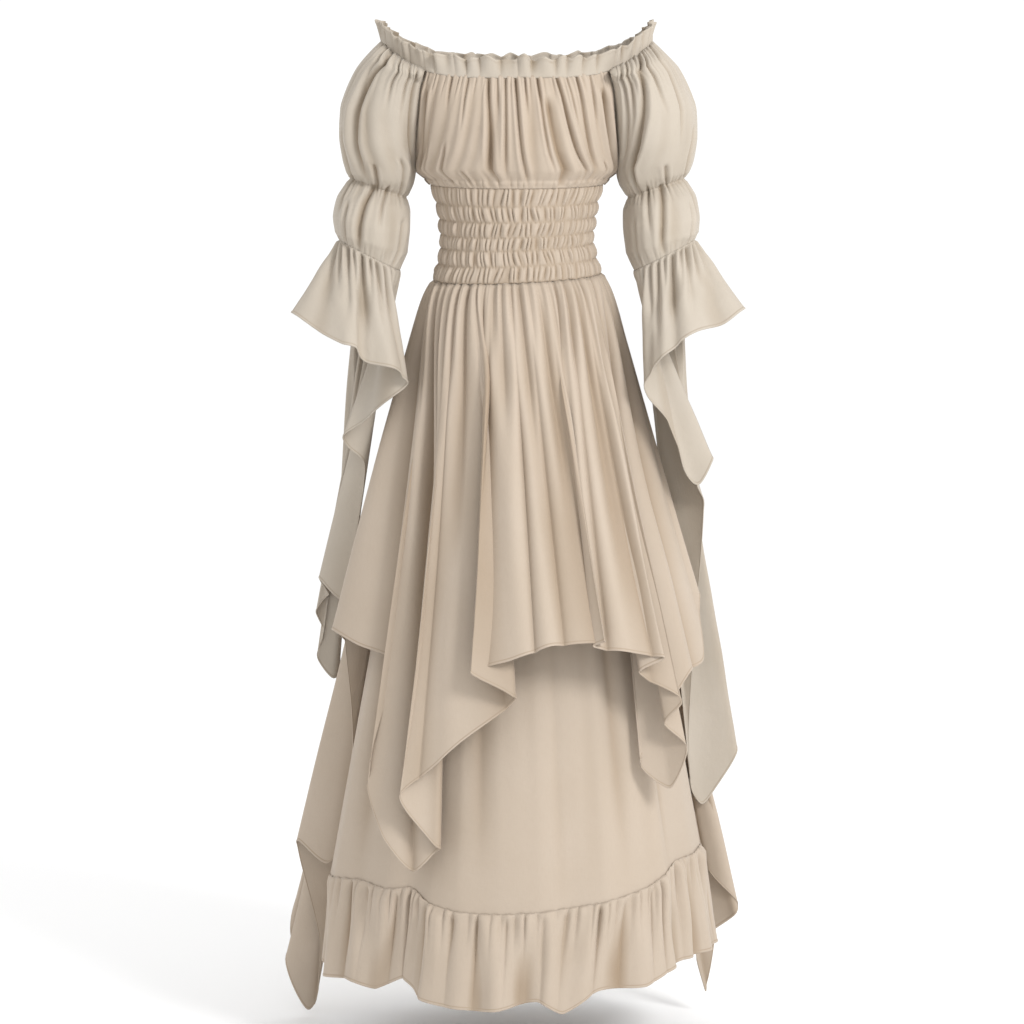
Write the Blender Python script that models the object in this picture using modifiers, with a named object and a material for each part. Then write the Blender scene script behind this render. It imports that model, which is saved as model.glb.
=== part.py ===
"""A medieval style gown in thin cloth, held up in its worn form with nobody in it.

The bodice hangs off the shoulders from a ruffled elastic neckline. Its waist is shirred,
its sleeves are gathered twice and end in long flounces, and a handkerchief overskirt
hangs over a plain skirt with a gathered hem.

Sizes are in millimetres until the mesh is made, and angles are in degrees. The front
faces -Y and +X is the right side of the picture. The origin is the middle of the waist.
Round the body, an angle is 0 at the centre front, 90 at +X and 180 at the centre back.
"""

import math

import bpy
from mathutils import Vector

MM = 0.001

# Cloth and seams. Seams that cross a wall's rim leave room for the two rims to tilt.
CLOTH = 1.2
HALF_SEAM = 0.45
OVERSKIRT_HALF_SEAM = 0.8
SEAM_DROP = 1.2
ARMHOLE_SHIFT = 1.7
FLOUNCE_DROP = 1.4

# Neckline, an oval seen from above that rises over the upper arms
NECK_SIDE = 190.0
NECK_DEPTH = 105.0
NECK_FRONT_Z = 235.0
NECK_BACK_Z = 246.0
NECK_SIDE_Z = 286.0
NECK_RUFFLE_HEIGHT = 25.0
NECK_RUFFLE_WAVES = 34

# Waves in the gathered pieces, counted over the whole piece
BODICE_FOLDS = 11
SLEEVE_FOLDS = 8
OVERSKIRT_FOLDS = 12
HEM_FRONT_FOLDS = 14
HEM_BACK_FOLDS = 10

# Shirring, half of it in front
SHIRRING_PUFFS = 13
PUFF_HEIGHT = 3.0

# Shirring rows from the top: centre height, half width, depth in front, depth behind, lean
SHIRRING = (
    (80.0, 121.0, 93.0, 88.0, 0.0),
    (54.0, 113.0, 90.0, 85.0, 0.8),
    (32.0, 108.5, 87.0, 82.0, 1.7),
    (11.0, 106.5, 85.0, 80.0, 2.5),
    (-7.0, 106.5, 85.0, 80.0, 3.3),
    (-29.0, 110.5, 87.0, 82.0, 4.2),
    (-52.0, 118.0, 90.0, 85.0, 5.0),
)
SHIRRING_LIFT = 6.0

# Seam of bodice and sleeve from the neck down: distance from the middle, depth, height
ARMHOLE = (
    (126.0, 79.0, 243.0),
    (133.0, 73.0, 212.0),
    (137.0, 54.0, 172.0),
    (140.0, 26.0, 132.0),
    (141.0, 0.5, 106.0),
)

# Bodice at its centre from the neck down: height and depth in front, height and depth
# behind, height of its folds. Below the armhole its side edge has a row of its own.
BODICE = (
    (235.0, 105.0, 246.0, 105.0, 1.2),
    (207.0, 115.0, 218.0, 106.0, 2.6),
    (168.0, 120.0, 178.0, 107.0, 3.6),
    (130.0, 117.0, 140.0, 104.0, 4.0),
    (104.0, 109.0, 115.0, 98.0, 3.2),
    (90.0, 99.0, 102.0, 92.0, 2.0),
)
BODICE_SIDE = (128.0, 0.5, 94.0)

# Sleeve from the neck down. Inner edge: distance from the middle, depth, height.
# Outer line: distance from the middle, height. Then half depth, shift to the front and
# height of its folds.
SLEEVE = (
    (126.0, 79.0, 243.0, 190.0, 286.0, 104.7, 0.0, 0.5),
    (133.0, 73.0, 212.0, 226.0, 247.0, 93.0, 0.0, 3.0),
    (137.0, 54.0, 172.0, 250.0, 195.0, 90.0, 0.0, 3.6),
    (140.0, 26.0, 132.0, 252.0, 150.0, 82.0, 0.0, 3.6),
    (141.0, 0.5, 106.0, 247.0, 118.0, 70.0, 0.0, 3.2),
    (146.0, 0.5, 84.0, 242.0, 102.0, 56.0, 0.0, 2.6),
    (155.0, 0.5, 66.0, 237.0, 93.0, 42.0, 0.0, 0.8),
    (150.0, 0.5, 48.0, 252.0, 68.0, 56.0, 5.0, 2.8),
    (150.0, 0.5, 18.0, 258.0, 40.0, 62.0, 12.0, 3.4),
    (154.0, 0.5, -12.0, 256.0, 18.0, 54.0, 18.0, 2.8),
)
FLOUNCE_RING = (207.5, -20.0, -16.0, 41.5, 42.0)
FLOUNCE_TILT = 21.5

# Left flounce, a row for each turn of its hem: angle on the elastic from the outer side
# towards the front, then across, depth, height
FLOUNCE_LEFT = (
    (0.0, -316.0, -60.0, -95.0),
    (25.0, -275.0, -95.0, -119.0),
    (45.0, -242.0, -105.0, -138.0),
    (60.0, -223.0, -110.0, -141.0),
    (75.0, -210.0, -106.0, -161.0),
    (92.0, -191.0, -108.0, -166.0),
    (115.0, -159.0, -100.0, -178.0),
    (130.0, -157.0, -88.0, -193.0),
    (142.0, -173.0, -76.0, -213.0),
    (155.0, -213.0, -50.0, -243.0),
    (168.0, -247.0, -26.0, -268.0),
    (180.0, -241.0, -6.0, -289.0),
    (192.0, -219.0, 12.0, -313.0),
    (206.0, -251.0, 36.0, -514.0),
    (218.0, -290.0, 52.0, -482.0),
    (230.0, -279.0, 68.0, -507.0),
    (242.0, -293.0, 80.0, -537.0),
    (254.0, -281.0, 90.0, -570.0),
    (266.0, -294.0, 98.0, -606.0),
    (280.0, -270.0, 110.0, -640.0),
    (296.0, -262.0, 116.0, -470.0),
    (312.0, -238.0, 98.0, -280.0),
    (326.0, -222.0, 72.0, -152.0),
    (340.0, -264.0, 32.0, -112.0),
    (352.0, -302.0, -20.0, -99.0),
)

# Right flounce, read like the left one
FLOUNCE_RIGHT = (
    (0.0, 320.0, -60.0, -89.0),
    (22.0, 293.0, -88.0, -106.0),
    (45.0, 255.0, -102.0, -118.0),
    (65.0, 228.0, -110.0, -132.0),
    (88.0, 206.0, -107.0, -154.0),
    (112.0, 190.0, -100.0, -171.0),
    (128.0, 184.0, -90.0, -192.0),
    (145.0, 204.0, -70.0, -241.0),
    (160.0, 236.0, -56.0, -313.0),
    (172.0, 258.0, -48.0, -340.0),
    (184.0, 281.0, -36.0, -298.0),
    (194.0, 260.0, -18.0, -337.0),
    (204.0, 266.0, 6.0, -372.0),
    (214.0, 250.0, 60.0, -700.0),
    (222.0, 256.0, 68.0, -800.0),
    (231.0, 274.0, 74.0, -824.0),
    (241.0, 299.0, 80.0, -790.0),
    (252.0, 321.0, 88.0, -746.0),
    (264.0, 304.0, 100.0, -700.0),
    (276.0, 284.0, 110.0, -600.0),
    (290.0, 266.0, 112.0, -440.0),
    (304.0, 254.0, 102.0, -320.0),
    (317.0, 248.0, 86.0, -230.0),
    (328.0, 230.0, 66.0, -150.0),
    (340.0, 268.0, 30.0, -108.0),
    (352.0, 304.0, -22.0, -95.0),
)

# Overskirt front from the left side, a row for each turn of its hem:
# angle at the waist, across, depth, height
OVERSKIRT_FRONT = (
    (-90.0, -248.0, 14.0, -569.0),
    (-87.0, -261.0, -35.0, -547.0),
    (-84.0, -224.0, -80.0, -562.0),
    (-80.0, -175.0, -122.0, -580.0),
    (-75.0, -211.0, -165.0, -745.0),
    (-70.0, -184.0, -192.0, -820.0),
    (-64.0, -145.0, -207.0, -862.0),
    (-56.0, -115.0, -215.0, -828.0),
    (-46.0, -163.0, -221.0, -752.0),
    (-38.0, -111.0, -225.0, -707.0),
    (-33.0, -79.0, -229.0, -677.0),
    (-28.0, -8.0, -236.0, -614.0),
    (-21.0, -69.0, -244.0, -575.0),
    (-11.0, -7.0, -252.0, -558.0),
    (2.0, 50.0, -254.0, -538.0),
    (22.0, 124.0, -250.0, -532.0),
    (28.0, 100.0, -240.0, -542.0),
    (38.0, 155.0, -232.0, -550.0),
    (48.0, 203.0, -222.0, -559.0),
    (51.0, 169.0, -214.0, -580.0),
    (55.0, 231.0, -204.0, -621.0),
    (58.0, 205.0, -196.0, -655.0),
    (61.0, 238.0, -188.0, -690.0),
    (64.0, 213.0, -180.0, -750.0),
    (67.0, 169.0, -172.0, -716.0),
    (76.0, 243.0, -112.0, -597.0),
    (84.0, 265.0, -55.0, -588.0),
    (90.0, 262.0, -8.0, -500.0),
)

# Overskirt back from the right side, read like the front
OVERSKIRT_BACK = (
    (90.0, 262.0, -8.0, -500.0),
    (96.0, 236.0, 32.0, -560.0),
    (102.0, 228.0, 74.0, -720.0),
    (108.0, 284.0, 92.0, -925.0),
    (115.0, 331.0, 106.0, -983.0),
    (121.0, 266.0, 126.0, -1045.0),
    (127.0, 286.0, 136.0, -1122.0),
    (134.0, 300.0, 152.0, -930.0),
    (142.0, 225.0, 170.0, -800.0),
    (150.0, 232.0, 196.0, -690.0),
    (158.0, 140.0, 222.0, -610.0),
    (168.0, 110.0, 248.0, -560.0),
    (178.0, 20.0, 240.0, -545.0),
    (186.0, -50.0, 258.0, -550.0),
    (196.0, -130.0, 232.0, -580.0),
    (206.0, -160.0, 226.0, -640.0),
    (214.0, -235.0, 190.0, -720.0),
    (222.0, -240.0, 172.0, -830.0),
    (230.0, -322.0, 152.0, -960.0),
    (238.0, -344.0, 136.0, -1069.0),
    (244.0, -311.0, 126.0, -1147.0),
    (250.0, -292.0, 112.0, -1036.0),
    (256.0, -324.0, 92.0, -876.0),
    (262.0, -276.0, 64.0, -910.0),
    (266.0, -240.0, 38.0, -720.0),
    (270.0, -248.0, 14.0, -569.0),
)

# Seam of underskirt and hem ruffle from the left side: angle at the waist, across, depth, height
FOOT_FRONT = (
    (-90.0, -270.0, 0.0, -911.0),
    (-84.0, -262.0, -42.0, -906.0),
    (-72.0, -220.0, -86.0, -901.0),
    (-62.0, -184.0, -124.0, -905.0),
    (-50.0, -147.0, -142.0, -899.0),
    (-42.0, -122.0, -178.0, -914.0),
    (-30.0, -82.0, -206.0, -920.0),
    (-14.0, -24.0, -222.0, -920.0),
    (4.0, 32.0, -226.0, -916.0),
    (20.0, 78.0, -216.0, -911.0),
    (34.0, 124.0, -212.0, -904.0),
    (50.0, 178.0, -180.0, -892.0),
    (64.0, 207.0, -152.0, -878.0),
    (76.0, 221.0, -118.0, -867.0),
    (84.0, 250.0, -62.0, -868.0),
    (90.0, 265.0, 0.0, -866.0),
)
FOOT_BACK = (
    (90.0, 265.0, 0.0, -866.0),
    (100.0, 254.0, 60.0, -876.0),
    (116.0, 206.0, 112.0, -888.0),
    (130.0, 176.0, 176.0, -896.0),
    (146.0, 122.0, 190.0, -902.0),
    (160.0, 74.0, 228.0, -906.0),
    (176.0, 10.0, 216.0, -910.0),
    (190.0, -44.0, 234.0, -912.0),
    (206.0, -96.0, 198.0, -914.0),
    (222.0, -158.0, 190.0, -914.0),
    (238.0, -190.0, 128.0, -914.0),
    (254.0, -244.0, 88.0, -912.0),
    (264.0, -256.0, 44.0, -912.0),
    (270.0, -270.0, 0.0, -911.0),
)

# Lower edge of the hem ruffle, a row for each row of its seam: across, depth, height
HEM_FRONT = (
    (-280.0, 0.0, -1030.0),
    (-276.0, -48.0, -1046.0),
    (-238.0, -98.0, -1040.0),
    (-202.0, -138.0, -1044.0),
    (-156.0, -152.0, -1024.0),
    (-136.0, -204.0, -1043.0),
    (-92.0, -226.0, -1049.0),
    (-32.0, -246.0, -1049.0),
    (28.0, -240.0, -1036.0),
    (62.0, -248.0, -1052.0),
    (112.0, -228.0, -1024.0),
    (176.0, -202.0, -1024.0),
    (222.0, -168.0, -1006.0),
    (232.0, -130.0, -1004.0),
    (270.0, -70.0, -1006.0),
    (290.0, 0.0, -1008.0),
)
HEM_BACK = (
    (290.0, 0.0, -1008.0),
    (268.0, 66.0, -1014.0),
    (224.0, 112.0, -1022.0),
    (190.0, 192.0, -1030.0),
    (128.0, 200.0, -1036.0),
    (80.0, 250.0, -1042.0),
    (10.0, 228.0, -1044.0),
    (-48.0, 254.0, -1046.0),
    (-100.0, 208.0, -1048.0),
    (-166.0, 206.0, -1046.0),
    (-198.0, 136.0, -1044.0),
    (-256.0, 92.0, -1040.0),
    (-268.0, 46.0, -1036.0),
    (-280.0, 0.0, -1030.0),
)

# Levels of a hanging piece, as parts of the way from its seam to its hem
UNDERSKIRT_LEVELS = (0.0, 0.1, 0.3, 0.6, 1.0)
FLOUNCE_LEVELS = (0.0, 0.14, 0.36, 0.66, 1.0)

# The same for gathered pieces, with the height of the gathers at each level
OVERSKIRT_LEVELS = (
    (0.0, 0.0),
    (0.06, 0.6),
    (0.16, 1.6),
    (0.32, 2.6),
    (0.52, 1.4),
    (0.76, 0.4),
    (1.0, 0.0),
)
RUFFLE_LEVELS = (
    (0.0, 0.9),
    (0.35, 2.6),
    (1.0, 4.6),
)

UNDERSKIRT_INSET = 1.9


def clear_scene():
    for old in list(bpy.data.objects):
        bpy.data.objects.remove(old, do_unlink=True)


def cloth_material(name, colour, roughness):
    material = bpy.data.materials.new(name)
    material.use_nodes = True
    shader = material.node_tree.nodes["Principled BSDF"]
    shader.inputs["Base Color"].default_value = (*colour, 1.0)
    shader.inputs["Roughness"].default_value = roughness
    shader.inputs["Metallic"].default_value = 0.0
    return material


def mix(start, end, part):
    """The point a part of the way from start to end."""
    return tuple(a + (b - a) * part for a, b in zip(start, end))


def smooth_path(rows, steps, closed=False):
    """A curve through all the rows, with the given steps from each row to the next."""
    count = len(rows)
    path = []
    for index in range(count if closed else count - 1):
        if closed:
            four = [rows[(index + offset) % count] for offset in (-1, 0, 1, 2)]
        else:
            here, after = rows[index], rows[index + 1]
            before = rows[index - 1] if index > 0 else mix(after, here, 2.0)
            beyond = rows[index + 2] if index + 2 < count else mix(here, after, 2.0)
            four = [before, here, after, beyond]
        knots = [0.0]
        for first, second in zip(four, four[1:]):
            knots.append(knots[-1] + max(math.dist(first, second), 0.001) ** 0.5)
        for step in range(steps):
            place = knots[1] + (knots[2] - knots[1]) * step / steps
            points = list(four)
            for degree in (1, 2, 3):
                merged = []
                for left in range(len(points) - 1):
                    if degree == 1:
                        start, end = knots[left], knots[left + 1]
                    elif degree == 2:
                        start, end = knots[left], knots[left + 2]
                    else:
                        start, end = knots[1], knots[2]
                    merged.append(mix(points[left], points[left + 1], (place - start) / (end - start)))
                points = merged
            path.append(points[0])
    if not closed:
        path.append(tuple(rows[-1]))
    return path


def shirring_point(row, angle, lift=0.0):
    """A point on a shirring row, raised outwards by lift."""
    height, side, front, back, lean = row
    turn = math.radians(angle)
    depth = front if math.cos(turn) > 0.0 else back
    x = (side + lift) * math.sin(turn)
    y = -(depth + lift) * math.cos(turn)
    z = height + SHIRRING_LIFT * (1.0 - math.cos(turn)) + lean * math.sin(turn)
    return Vector((x, y, z))


def neck_point(angle, spread=0.0, rise=0.0):
    """A point on the neckline elastic."""
    turn = math.radians(angle)
    x = (NECK_SIDE + spread) * math.sin(turn)
    y = -(NECK_DEPTH + spread) * math.cos(turn)
    middle = NECK_FRONT_Z if math.cos(turn) > 0.0 else NECK_BACK_Z
    z = middle + (NECK_SIDE_Z - middle) * math.sin(turn) ** 4
    return Vector((x, y, z + rise))


def flounce_point(side, angle):
    """A point on the lower elastic of a sleeve; side is -1 for left and 1 for right."""
    across, depth, height, half_width, half_depth = FLOUNCE_RING
    turn = math.radians(angle)
    x = across + half_width * math.cos(turn)
    y = depth - half_depth * math.sin(turn)
    z = height + FLOUNCE_TILT * math.cos(turn)
    return Vector((side * x, y, z))


def normals(rows, closed):
    """Directions square to a sheet at each of its points."""
    result = []
    for level, row in enumerate(rows):
        above = rows[max(level - 1, 0)]
        below = rows[min(level + 1, len(rows) - 1)]
        line = []
        for column in range(len(row)):
            if closed:
                before = row[column - 1]
                after = row[(column + 1) % len(row)]
            else:
                before = row[max(column - 1, 0)]
                after = row[min(column + 1, len(row) - 1)]
            down = below[column] - above[column]
            line.append(down.cross(after - before).normalized())
        result.append(line)
    return result


def gathered(rows, closed, folds, heights, margin):
    """The sheet with folds across it, as high on each row as heights says.

    The folds die away over the margin, a part of the width, at the two side edges.
    """
    directions = normals(rows, closed)
    moved = []
    for level, row in enumerate(rows):
        spans = len(row) if closed else len(row) - 1
        line = []
        for column, point in enumerate(row):
            along = column / spans
            edge = 1.0 if closed else min(1.0, along / margin, (1.0 - along) / margin)
            swing = heights[level] * edge * math.sin(2.0 * math.pi * folds * along)
            line.append(point + directions[level][column] * swing)
        moved.append(line)
    return moved


def with_side_seams(rows, inset):
    """The sheet with its two side edges drawn in."""
    for row in rows:
        row[0] += (row[1] - row[0]).normalized() * inset
        row[-1] += (row[-2] - row[-1]).normalized() * inset
    return rows


def hang(top, hem, levels):
    """A sheet that hangs from the top curve to the hem curve, point below point."""
    rows = []
    for level in levels:
        rows.append([a.lerp(b, level) for a, b in zip(top, hem)])
    return rows


def grid_faces(levels, across, closed):
    faces = []
    for level in range(levels - 1):
        for column in range(across if closed else across - 1):
            after = (column + 1) % across
            start = level * across
            faces.append((start + column, start + after, start + after + across, start + column + across))
    return faces


def add_body(name, vertices, faces, material, collection):
    mesh = bpy.data.meshes.new(name)
    mesh.from_pydata([tuple(value * MM for value in point) for point in vertices], [], faces)
    mesh.materials.append(material)
    body = bpy.data.objects.new(name, mesh)
    collection.objects.link(body)
    return body


def add_sheet(name, rows, closed, material, collection):
    """A cloth wall whose middle is the sheet given by rows of points."""
    vertices = [point for row in rows for point in row]
    faces = grid_faces(len(rows), len(rows[0]), closed)
    body = add_body(name, vertices, faces, material, collection)
    wall = body.modifiers.new("wall", "SOLIDIFY")
    wall.thickness = CLOTH * MM
    wall.offset = 0.0
    return body


def add_raised_wall(name, outside, inside, material, collection):
    """An open wall between two sheets of the same number of points."""
    levels = len(outside)
    across = len(outside[0])
    count = levels * across
    inner_faces = grid_faces(levels, across, False)
    faces = [tuple(reversed(face)) for face in inner_faces]
    for face in inner_faces:
        faces.append(tuple(corner + count for corner in face))
    rim = list(range(across))
    rim += [level * across + across - 1 for level in range(1, levels)]
    rim += [(levels - 1) * across + column for column in range(across - 2, -1, -1)]
    rim += [level * across for level in range(levels - 2, 0, -1)]
    for place, corner in enumerate(rim):
        after = rim[(place + 1) % len(rim)]
        faces.append((corner, after, after + count, corner + count))
    vertices = [point for row in outside for point in row]
    vertices += [point for row in inside for point in row]
    return add_body(name, vertices, faces, material, collection)


def add_neck_ruffle(material, collection):
    """A frilled ring that stands on the neckline, each wave two points wide."""
    across = NECK_RUFFLE_WAVES * 2
    rows = []
    for rise, swing, lean in ((1.8, 1.6, 0.0), (11.0, 3.0, 1.0), (NECK_RUFFLE_HEIGHT, 5.0, 6.0)):
        row = []
        for column in range(across):
            angle = 360.0 * column / across
            wave = swing if column % 2 else -swing
            row.append(neck_point(angle, lean + wave, rise))
        rows.append(row)
    return add_sheet("neck_ruffle", rows, True, material, collection)


def bodice_curve(height, depth, edge, facing, across):
    """One level of the bodice between its two side edges, round the front or the back."""
    width, edge_depth, edge_height = edge
    limit = math.acos(min(edge_depth / depth, 1.0))
    radius = width / math.sin(limit)
    row = []
    for column in range(across + 1):
        part = 2.0 * column / across - 1.0
        turn = limit * part
        x = radius * math.sin(turn)
        z = height + (edge_height - height) * part * part
        row.append(Vector((x, facing * depth * math.cos(turn), z)))
    return row


def add_bodice(name, facing, across, material, collection):
    edges = list(ARMHOLE) + [BODICE_SIDE]
    rows = []
    for centre, edge in zip(BODICE, edges):
        height, depth = centre[0:2] if facing < 0.0 else centre[2:4]
        rows.append(bodice_curve(height, depth, edge, facing, across))
    for point in rows[0]:
        angle = math.degrees(math.atan2(point.x / NECK_SIDE, -point.y / NECK_DEPTH))
        point.z = neck_point(angle).z
    rows.append([])
    for column in range(across + 1):
        part = 2.0 * column / across - 1.0
        angle = 90.0 * part if facing < 0.0 else 180.0 - 90.0 * part
        ring = shirring_point(SHIRRING[0], angle)
        rows[-1].append(Vector((ring.x, ring.y, ring.z + SEAM_DROP)))
    heights = [centre[4] for centre in BODICE] + [0.0]
    rows = gathered(rows, False, BODICE_FOLDS, heights, 0.12)
    for row in rows[-3:]:
        row[0].y = facing * HALF_SEAM
        row[-1].y = facing * HALF_SEAM
    return add_sheet(name, rows, False, material, collection)


def add_shirring(name, start, material, collection):
    """Half of the shirred waist, puffs outside and plain inside."""
    across = SHIRRING_PUFFS * 2
    trim = math.degrees(HALF_SEAM / SHIRRING[0][1])
    outside, inside = [], []
    for band in range(2 * len(SHIRRING) - 1):
        upper = SHIRRING[band // 2]
        lower = SHIRRING[(band + 1) // 2]
        row = mix(upper, lower, 0.5)
        full = band % 2 == 1
        outer_row, inner_row = [], []
        for column in range(across + 1):
            angle = start + trim + (180.0 - 2.0 * trim) * column / across
            raised = PUFF_HEIGHT if full and column % 2 == 1 else 0.0
            if full and column % 2 == 0:
                raised = 0.8
            outer_row.append(shirring_point(row, angle, CLOTH / 2.0 + raised))
            inner_row.append(shirring_point(row, angle, -CLOTH / 2.0))
        outside.append(outer_row)
        inside.append(inner_row)
    return add_raised_wall(name, outside, inside, material, collection)


def sleeve_curve(row, side, across, edge_shift):
    """One level of a sleeve from its front edge round the outside to its back edge."""
    inner, edge_depth, inner_z, outer, outer_z, half_depth, shift = row[:7]
    start = math.asin(min(edge_depth / half_depth, 1.0))
    inner += edge_shift
    half_width = (outer - inner) / (1.0 + math.cos(start))
    points = []
    for column in range(across + 1):
        turn = start + (2.0 * math.pi - 2.0 * start) * column / across
        x = outer - half_width * (1.0 + math.cos(turn))
        reach = (x - inner) / (outer - inner)
        y = -half_depth * math.sin(turn) - shift * min(1.0, 4.0 * reach)
        z = inner_z + (outer_z - inner_z) * reach
        points.append(Vector((side * x, y, z)))
    return points


def add_sleeve(name, side, material, collection):
    across = 26
    corner = math.degrees(math.asin((ARMHOLE[0][0] + ARMHOLE_SHIFT) / NECK_SIDE))
    rows = [[]]
    for column in range(across + 1):
        angle = corner + (180.0 - 2.0 * corner) * column / across
        rows[0].append(neck_point(side * angle))
    for level, row in enumerate(SLEEVE[1:], 1):
        edge_shift = ARMHOLE_SHIFT if level < len(ARMHOLE) else 0.0
        rows.append(sleeve_curve(row, side, across, edge_shift))
    rows.append([])
    for column in range(across + 1):
        rows[-1].append(flounce_point(side, 179.3 - 358.6 * column / across))
    heights = [row[7] for row in SLEEVE] + [0.0]
    return add_sheet(name, gathered(rows, False, SLEEVE_FOLDS, heights, 0.12), False, material, collection)


def add_flounce(name, side, table, material, collection):
    path = smooth_path(table, 2, closed=False)
    start = (table[0][0] + 360.0,) + table[0][1:]
    path = path[:-1] + smooth_path((table[-2], table[-1], start), 2)[2:-1]
    hem = [Vector(point[1:]) for point in path]
    top = []
    for point in path:
        seam = flounce_point(side, point[0])
        top.append(Vector((seam.x, seam.y, seam.z - FLOUNCE_DROP)))
    rows = hang(top, hem, FLOUNCE_LEVELS)
    return add_sheet(name, rows, True, material, collection)


def skirt_top(path, inset):
    """The lower edge of the shirring, below each point of a hem path."""
    top = []
    for point in path:
        seam = shirring_point(SHIRRING[-1], point[0], -inset)
        top.append(Vector((seam.x, seam.y, seam.z - SEAM_DROP)))
    return top


def add_overskirt(name, table, steps, material, collection):
    path = smooth_path(table, steps)
    hem = [Vector(point[1:]) for point in path]
    rows = hang(skirt_top(path, 0.0), hem, [level for level, height in OVERSKIRT_LEVELS])
    heights = [height for level, height in OVERSKIRT_LEVELS]
    rows = gathered(rows, False, OVERSKIRT_FOLDS, heights, 0.05)
    return add_sheet(name, with_side_seams(rows, OVERSKIRT_HALF_SEAM), False, material, collection)


def add_underskirt(name, table, steps, material, collection):
    path = smooth_path(table, steps)
    foot = [Vector(point[1:]) for point in path]
    rows = hang(skirt_top(path, UNDERSKIRT_INSET), foot, UNDERSKIRT_LEVELS)
    return add_sheet(name, with_side_seams(rows, HALF_SEAM), False, material, collection)


def add_hem_ruffle(name, seam_table, hem_table, steps, folds, material, collection):
    seam = smooth_path(seam_table, steps)
    top = [Vector((point[1], point[2], point[3] - SEAM_DROP)) for point in seam]
    hem = [Vector(point) for point in smooth_path(hem_table, steps)]
    rows = hang(top, hem, [level for level, height in RUFFLE_LEVELS])
    heights = [height for level, height in RUFFLE_LEVELS]
    rows = gathered(rows, False, folds, heights, 0.05)
    return add_sheet(name, with_side_seams(rows, HALF_SEAM), False, material, collection)


def main():
    clear_scene()
    collection = bpy.data.collections.new("medieval_gown")
    bpy.context.scene.collection.children.link(collection)
    cream = cloth_material("cream_cloth", (0.60, 0.50, 0.42), 0.8)
    pale = cloth_material("pale_cloth", (0.66, 0.58, 0.50), 0.8)

    add_neck_ruffle(pale, collection)
    add_bodice("bodice_front", -1.0, 44, cream, collection)
    add_bodice("bodice_back", 1.0, 36, cream, collection)
    add_shirring("waist_shirring_front", -90.0, cream, collection)
    add_shirring("waist_shirring_back", 90.0, cream, collection)
    add_sleeve("sleeve_left", -1.0, pale, collection)
    add_sleeve("sleeve_right", 1.0, pale, collection)
    add_flounce("sleeve_flounce_left", -1.0, FLOUNCE_LEFT, pale, collection)
    add_flounce("sleeve_flounce_right", 1.0, FLOUNCE_RIGHT, pale, collection)
    add_overskirt("overskirt_front", OVERSKIRT_FRONT, 3, cream, collection)
    add_overskirt("overskirt_back", OVERSKIRT_BACK, 2, cream, collection)
    add_underskirt("underskirt_front", FOOT_FRONT, 3, cream, collection)
    add_underskirt("underskirt_back", FOOT_BACK, 2, cream, collection)
    add_hem_ruffle("hem_ruffle_front", FOOT_FRONT, HEM_FRONT, 4, HEM_FRONT_FOLDS, cream, collection)
    add_hem_ruffle("hem_ruffle_back", FOOT_BACK, HEM_BACK, 4, HEM_BACK_FOLDS, cream, collection)


main()
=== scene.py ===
"""The looks of the medieval style gown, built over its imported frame.

Sizes are in millimetres until a mesh is made, and angles are in degrees. The front faces
-Y and +X is the right side of the picture. The origin is the middle of the waist. Round
the body, an angle is 0 at the centre front, 90 at +X and 180 at the centre back.

A sheet is an array of points with a row for each level from its seam to its hem and a
column for each place along them.
"""

import math

import bpy
import numpy as np
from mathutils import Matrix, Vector


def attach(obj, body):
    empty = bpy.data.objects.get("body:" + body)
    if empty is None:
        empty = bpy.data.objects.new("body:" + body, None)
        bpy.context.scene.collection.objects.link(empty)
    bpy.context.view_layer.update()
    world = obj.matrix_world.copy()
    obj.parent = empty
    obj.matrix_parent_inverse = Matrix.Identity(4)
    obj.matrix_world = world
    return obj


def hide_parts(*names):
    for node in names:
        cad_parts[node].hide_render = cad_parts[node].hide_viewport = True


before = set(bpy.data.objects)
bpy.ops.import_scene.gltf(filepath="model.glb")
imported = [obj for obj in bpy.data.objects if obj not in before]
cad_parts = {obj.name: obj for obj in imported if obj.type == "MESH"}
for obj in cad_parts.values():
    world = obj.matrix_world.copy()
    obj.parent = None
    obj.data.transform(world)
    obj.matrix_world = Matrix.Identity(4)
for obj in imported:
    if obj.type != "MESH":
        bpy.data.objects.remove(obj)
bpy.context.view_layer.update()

MM = 0.001

# Cloth, and the rows of a rolled hem: distance from the edge, thickness added, painted shade along
# the stitch groove
CLOTH = 0.7
HEM_ROLL = (
    (5.0, 0.0, 0.0),
    (3.8, -0.2, 0.7),
    (2.6, 0.9, 0.1),
    (1.2, 1.0, 0.0),
    (0.0, 0.4, 0.0),
)

# How far a piece stands off the one that it is sewn over or under
LAP = 1.2

# A path through a table: points for each row, and how far it keeps to straight runs, 0 to 1
PATH_STEPS = 24
STRAIGHT_SHARE = 0.45

# Side edges that roll into a seam: depth, and reach as a share of the piece's width
SIDE_ROLL_DEPTH = 2.4
SIDE_ROLL_REACH = 0.012

# Signs of the sides of the gown, across and in depth
LEFT, RIGHT = -1.0, 1.0
FRONT, BACK = -1.0, 1.0

# Neckline, an oval seen from above that rises over the upper arms
NECK_SIDE = 190.0
NECK_DEPTH = 105.0
NECK_FRONT_Z = 235.0
NECK_BACK_Z = 246.0
NECK_SIDE_Z = 286.0
NECK_RUFFLE_HEIGHT = 24.0

# Shirring rows from the top: centre height, half width, depth in front, depth behind, lean
SHIRRING = (
    (80.0, 121.0, 93.0, 88.0, 0.0),
    (54.0, 113.0, 90.0, 85.0, 0.8),
    (32.0, 108.5, 87.0, 82.0, 1.7),
    (11.0, 106.5, 85.0, 80.0, 2.5),
    (-7.0, 106.5, 85.0, 80.0, 3.3),
    (-29.0, 110.5, 87.0, 82.0, 4.2),
    (-52.0, 118.0, 90.0, 85.0, 5.0),
)

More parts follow.
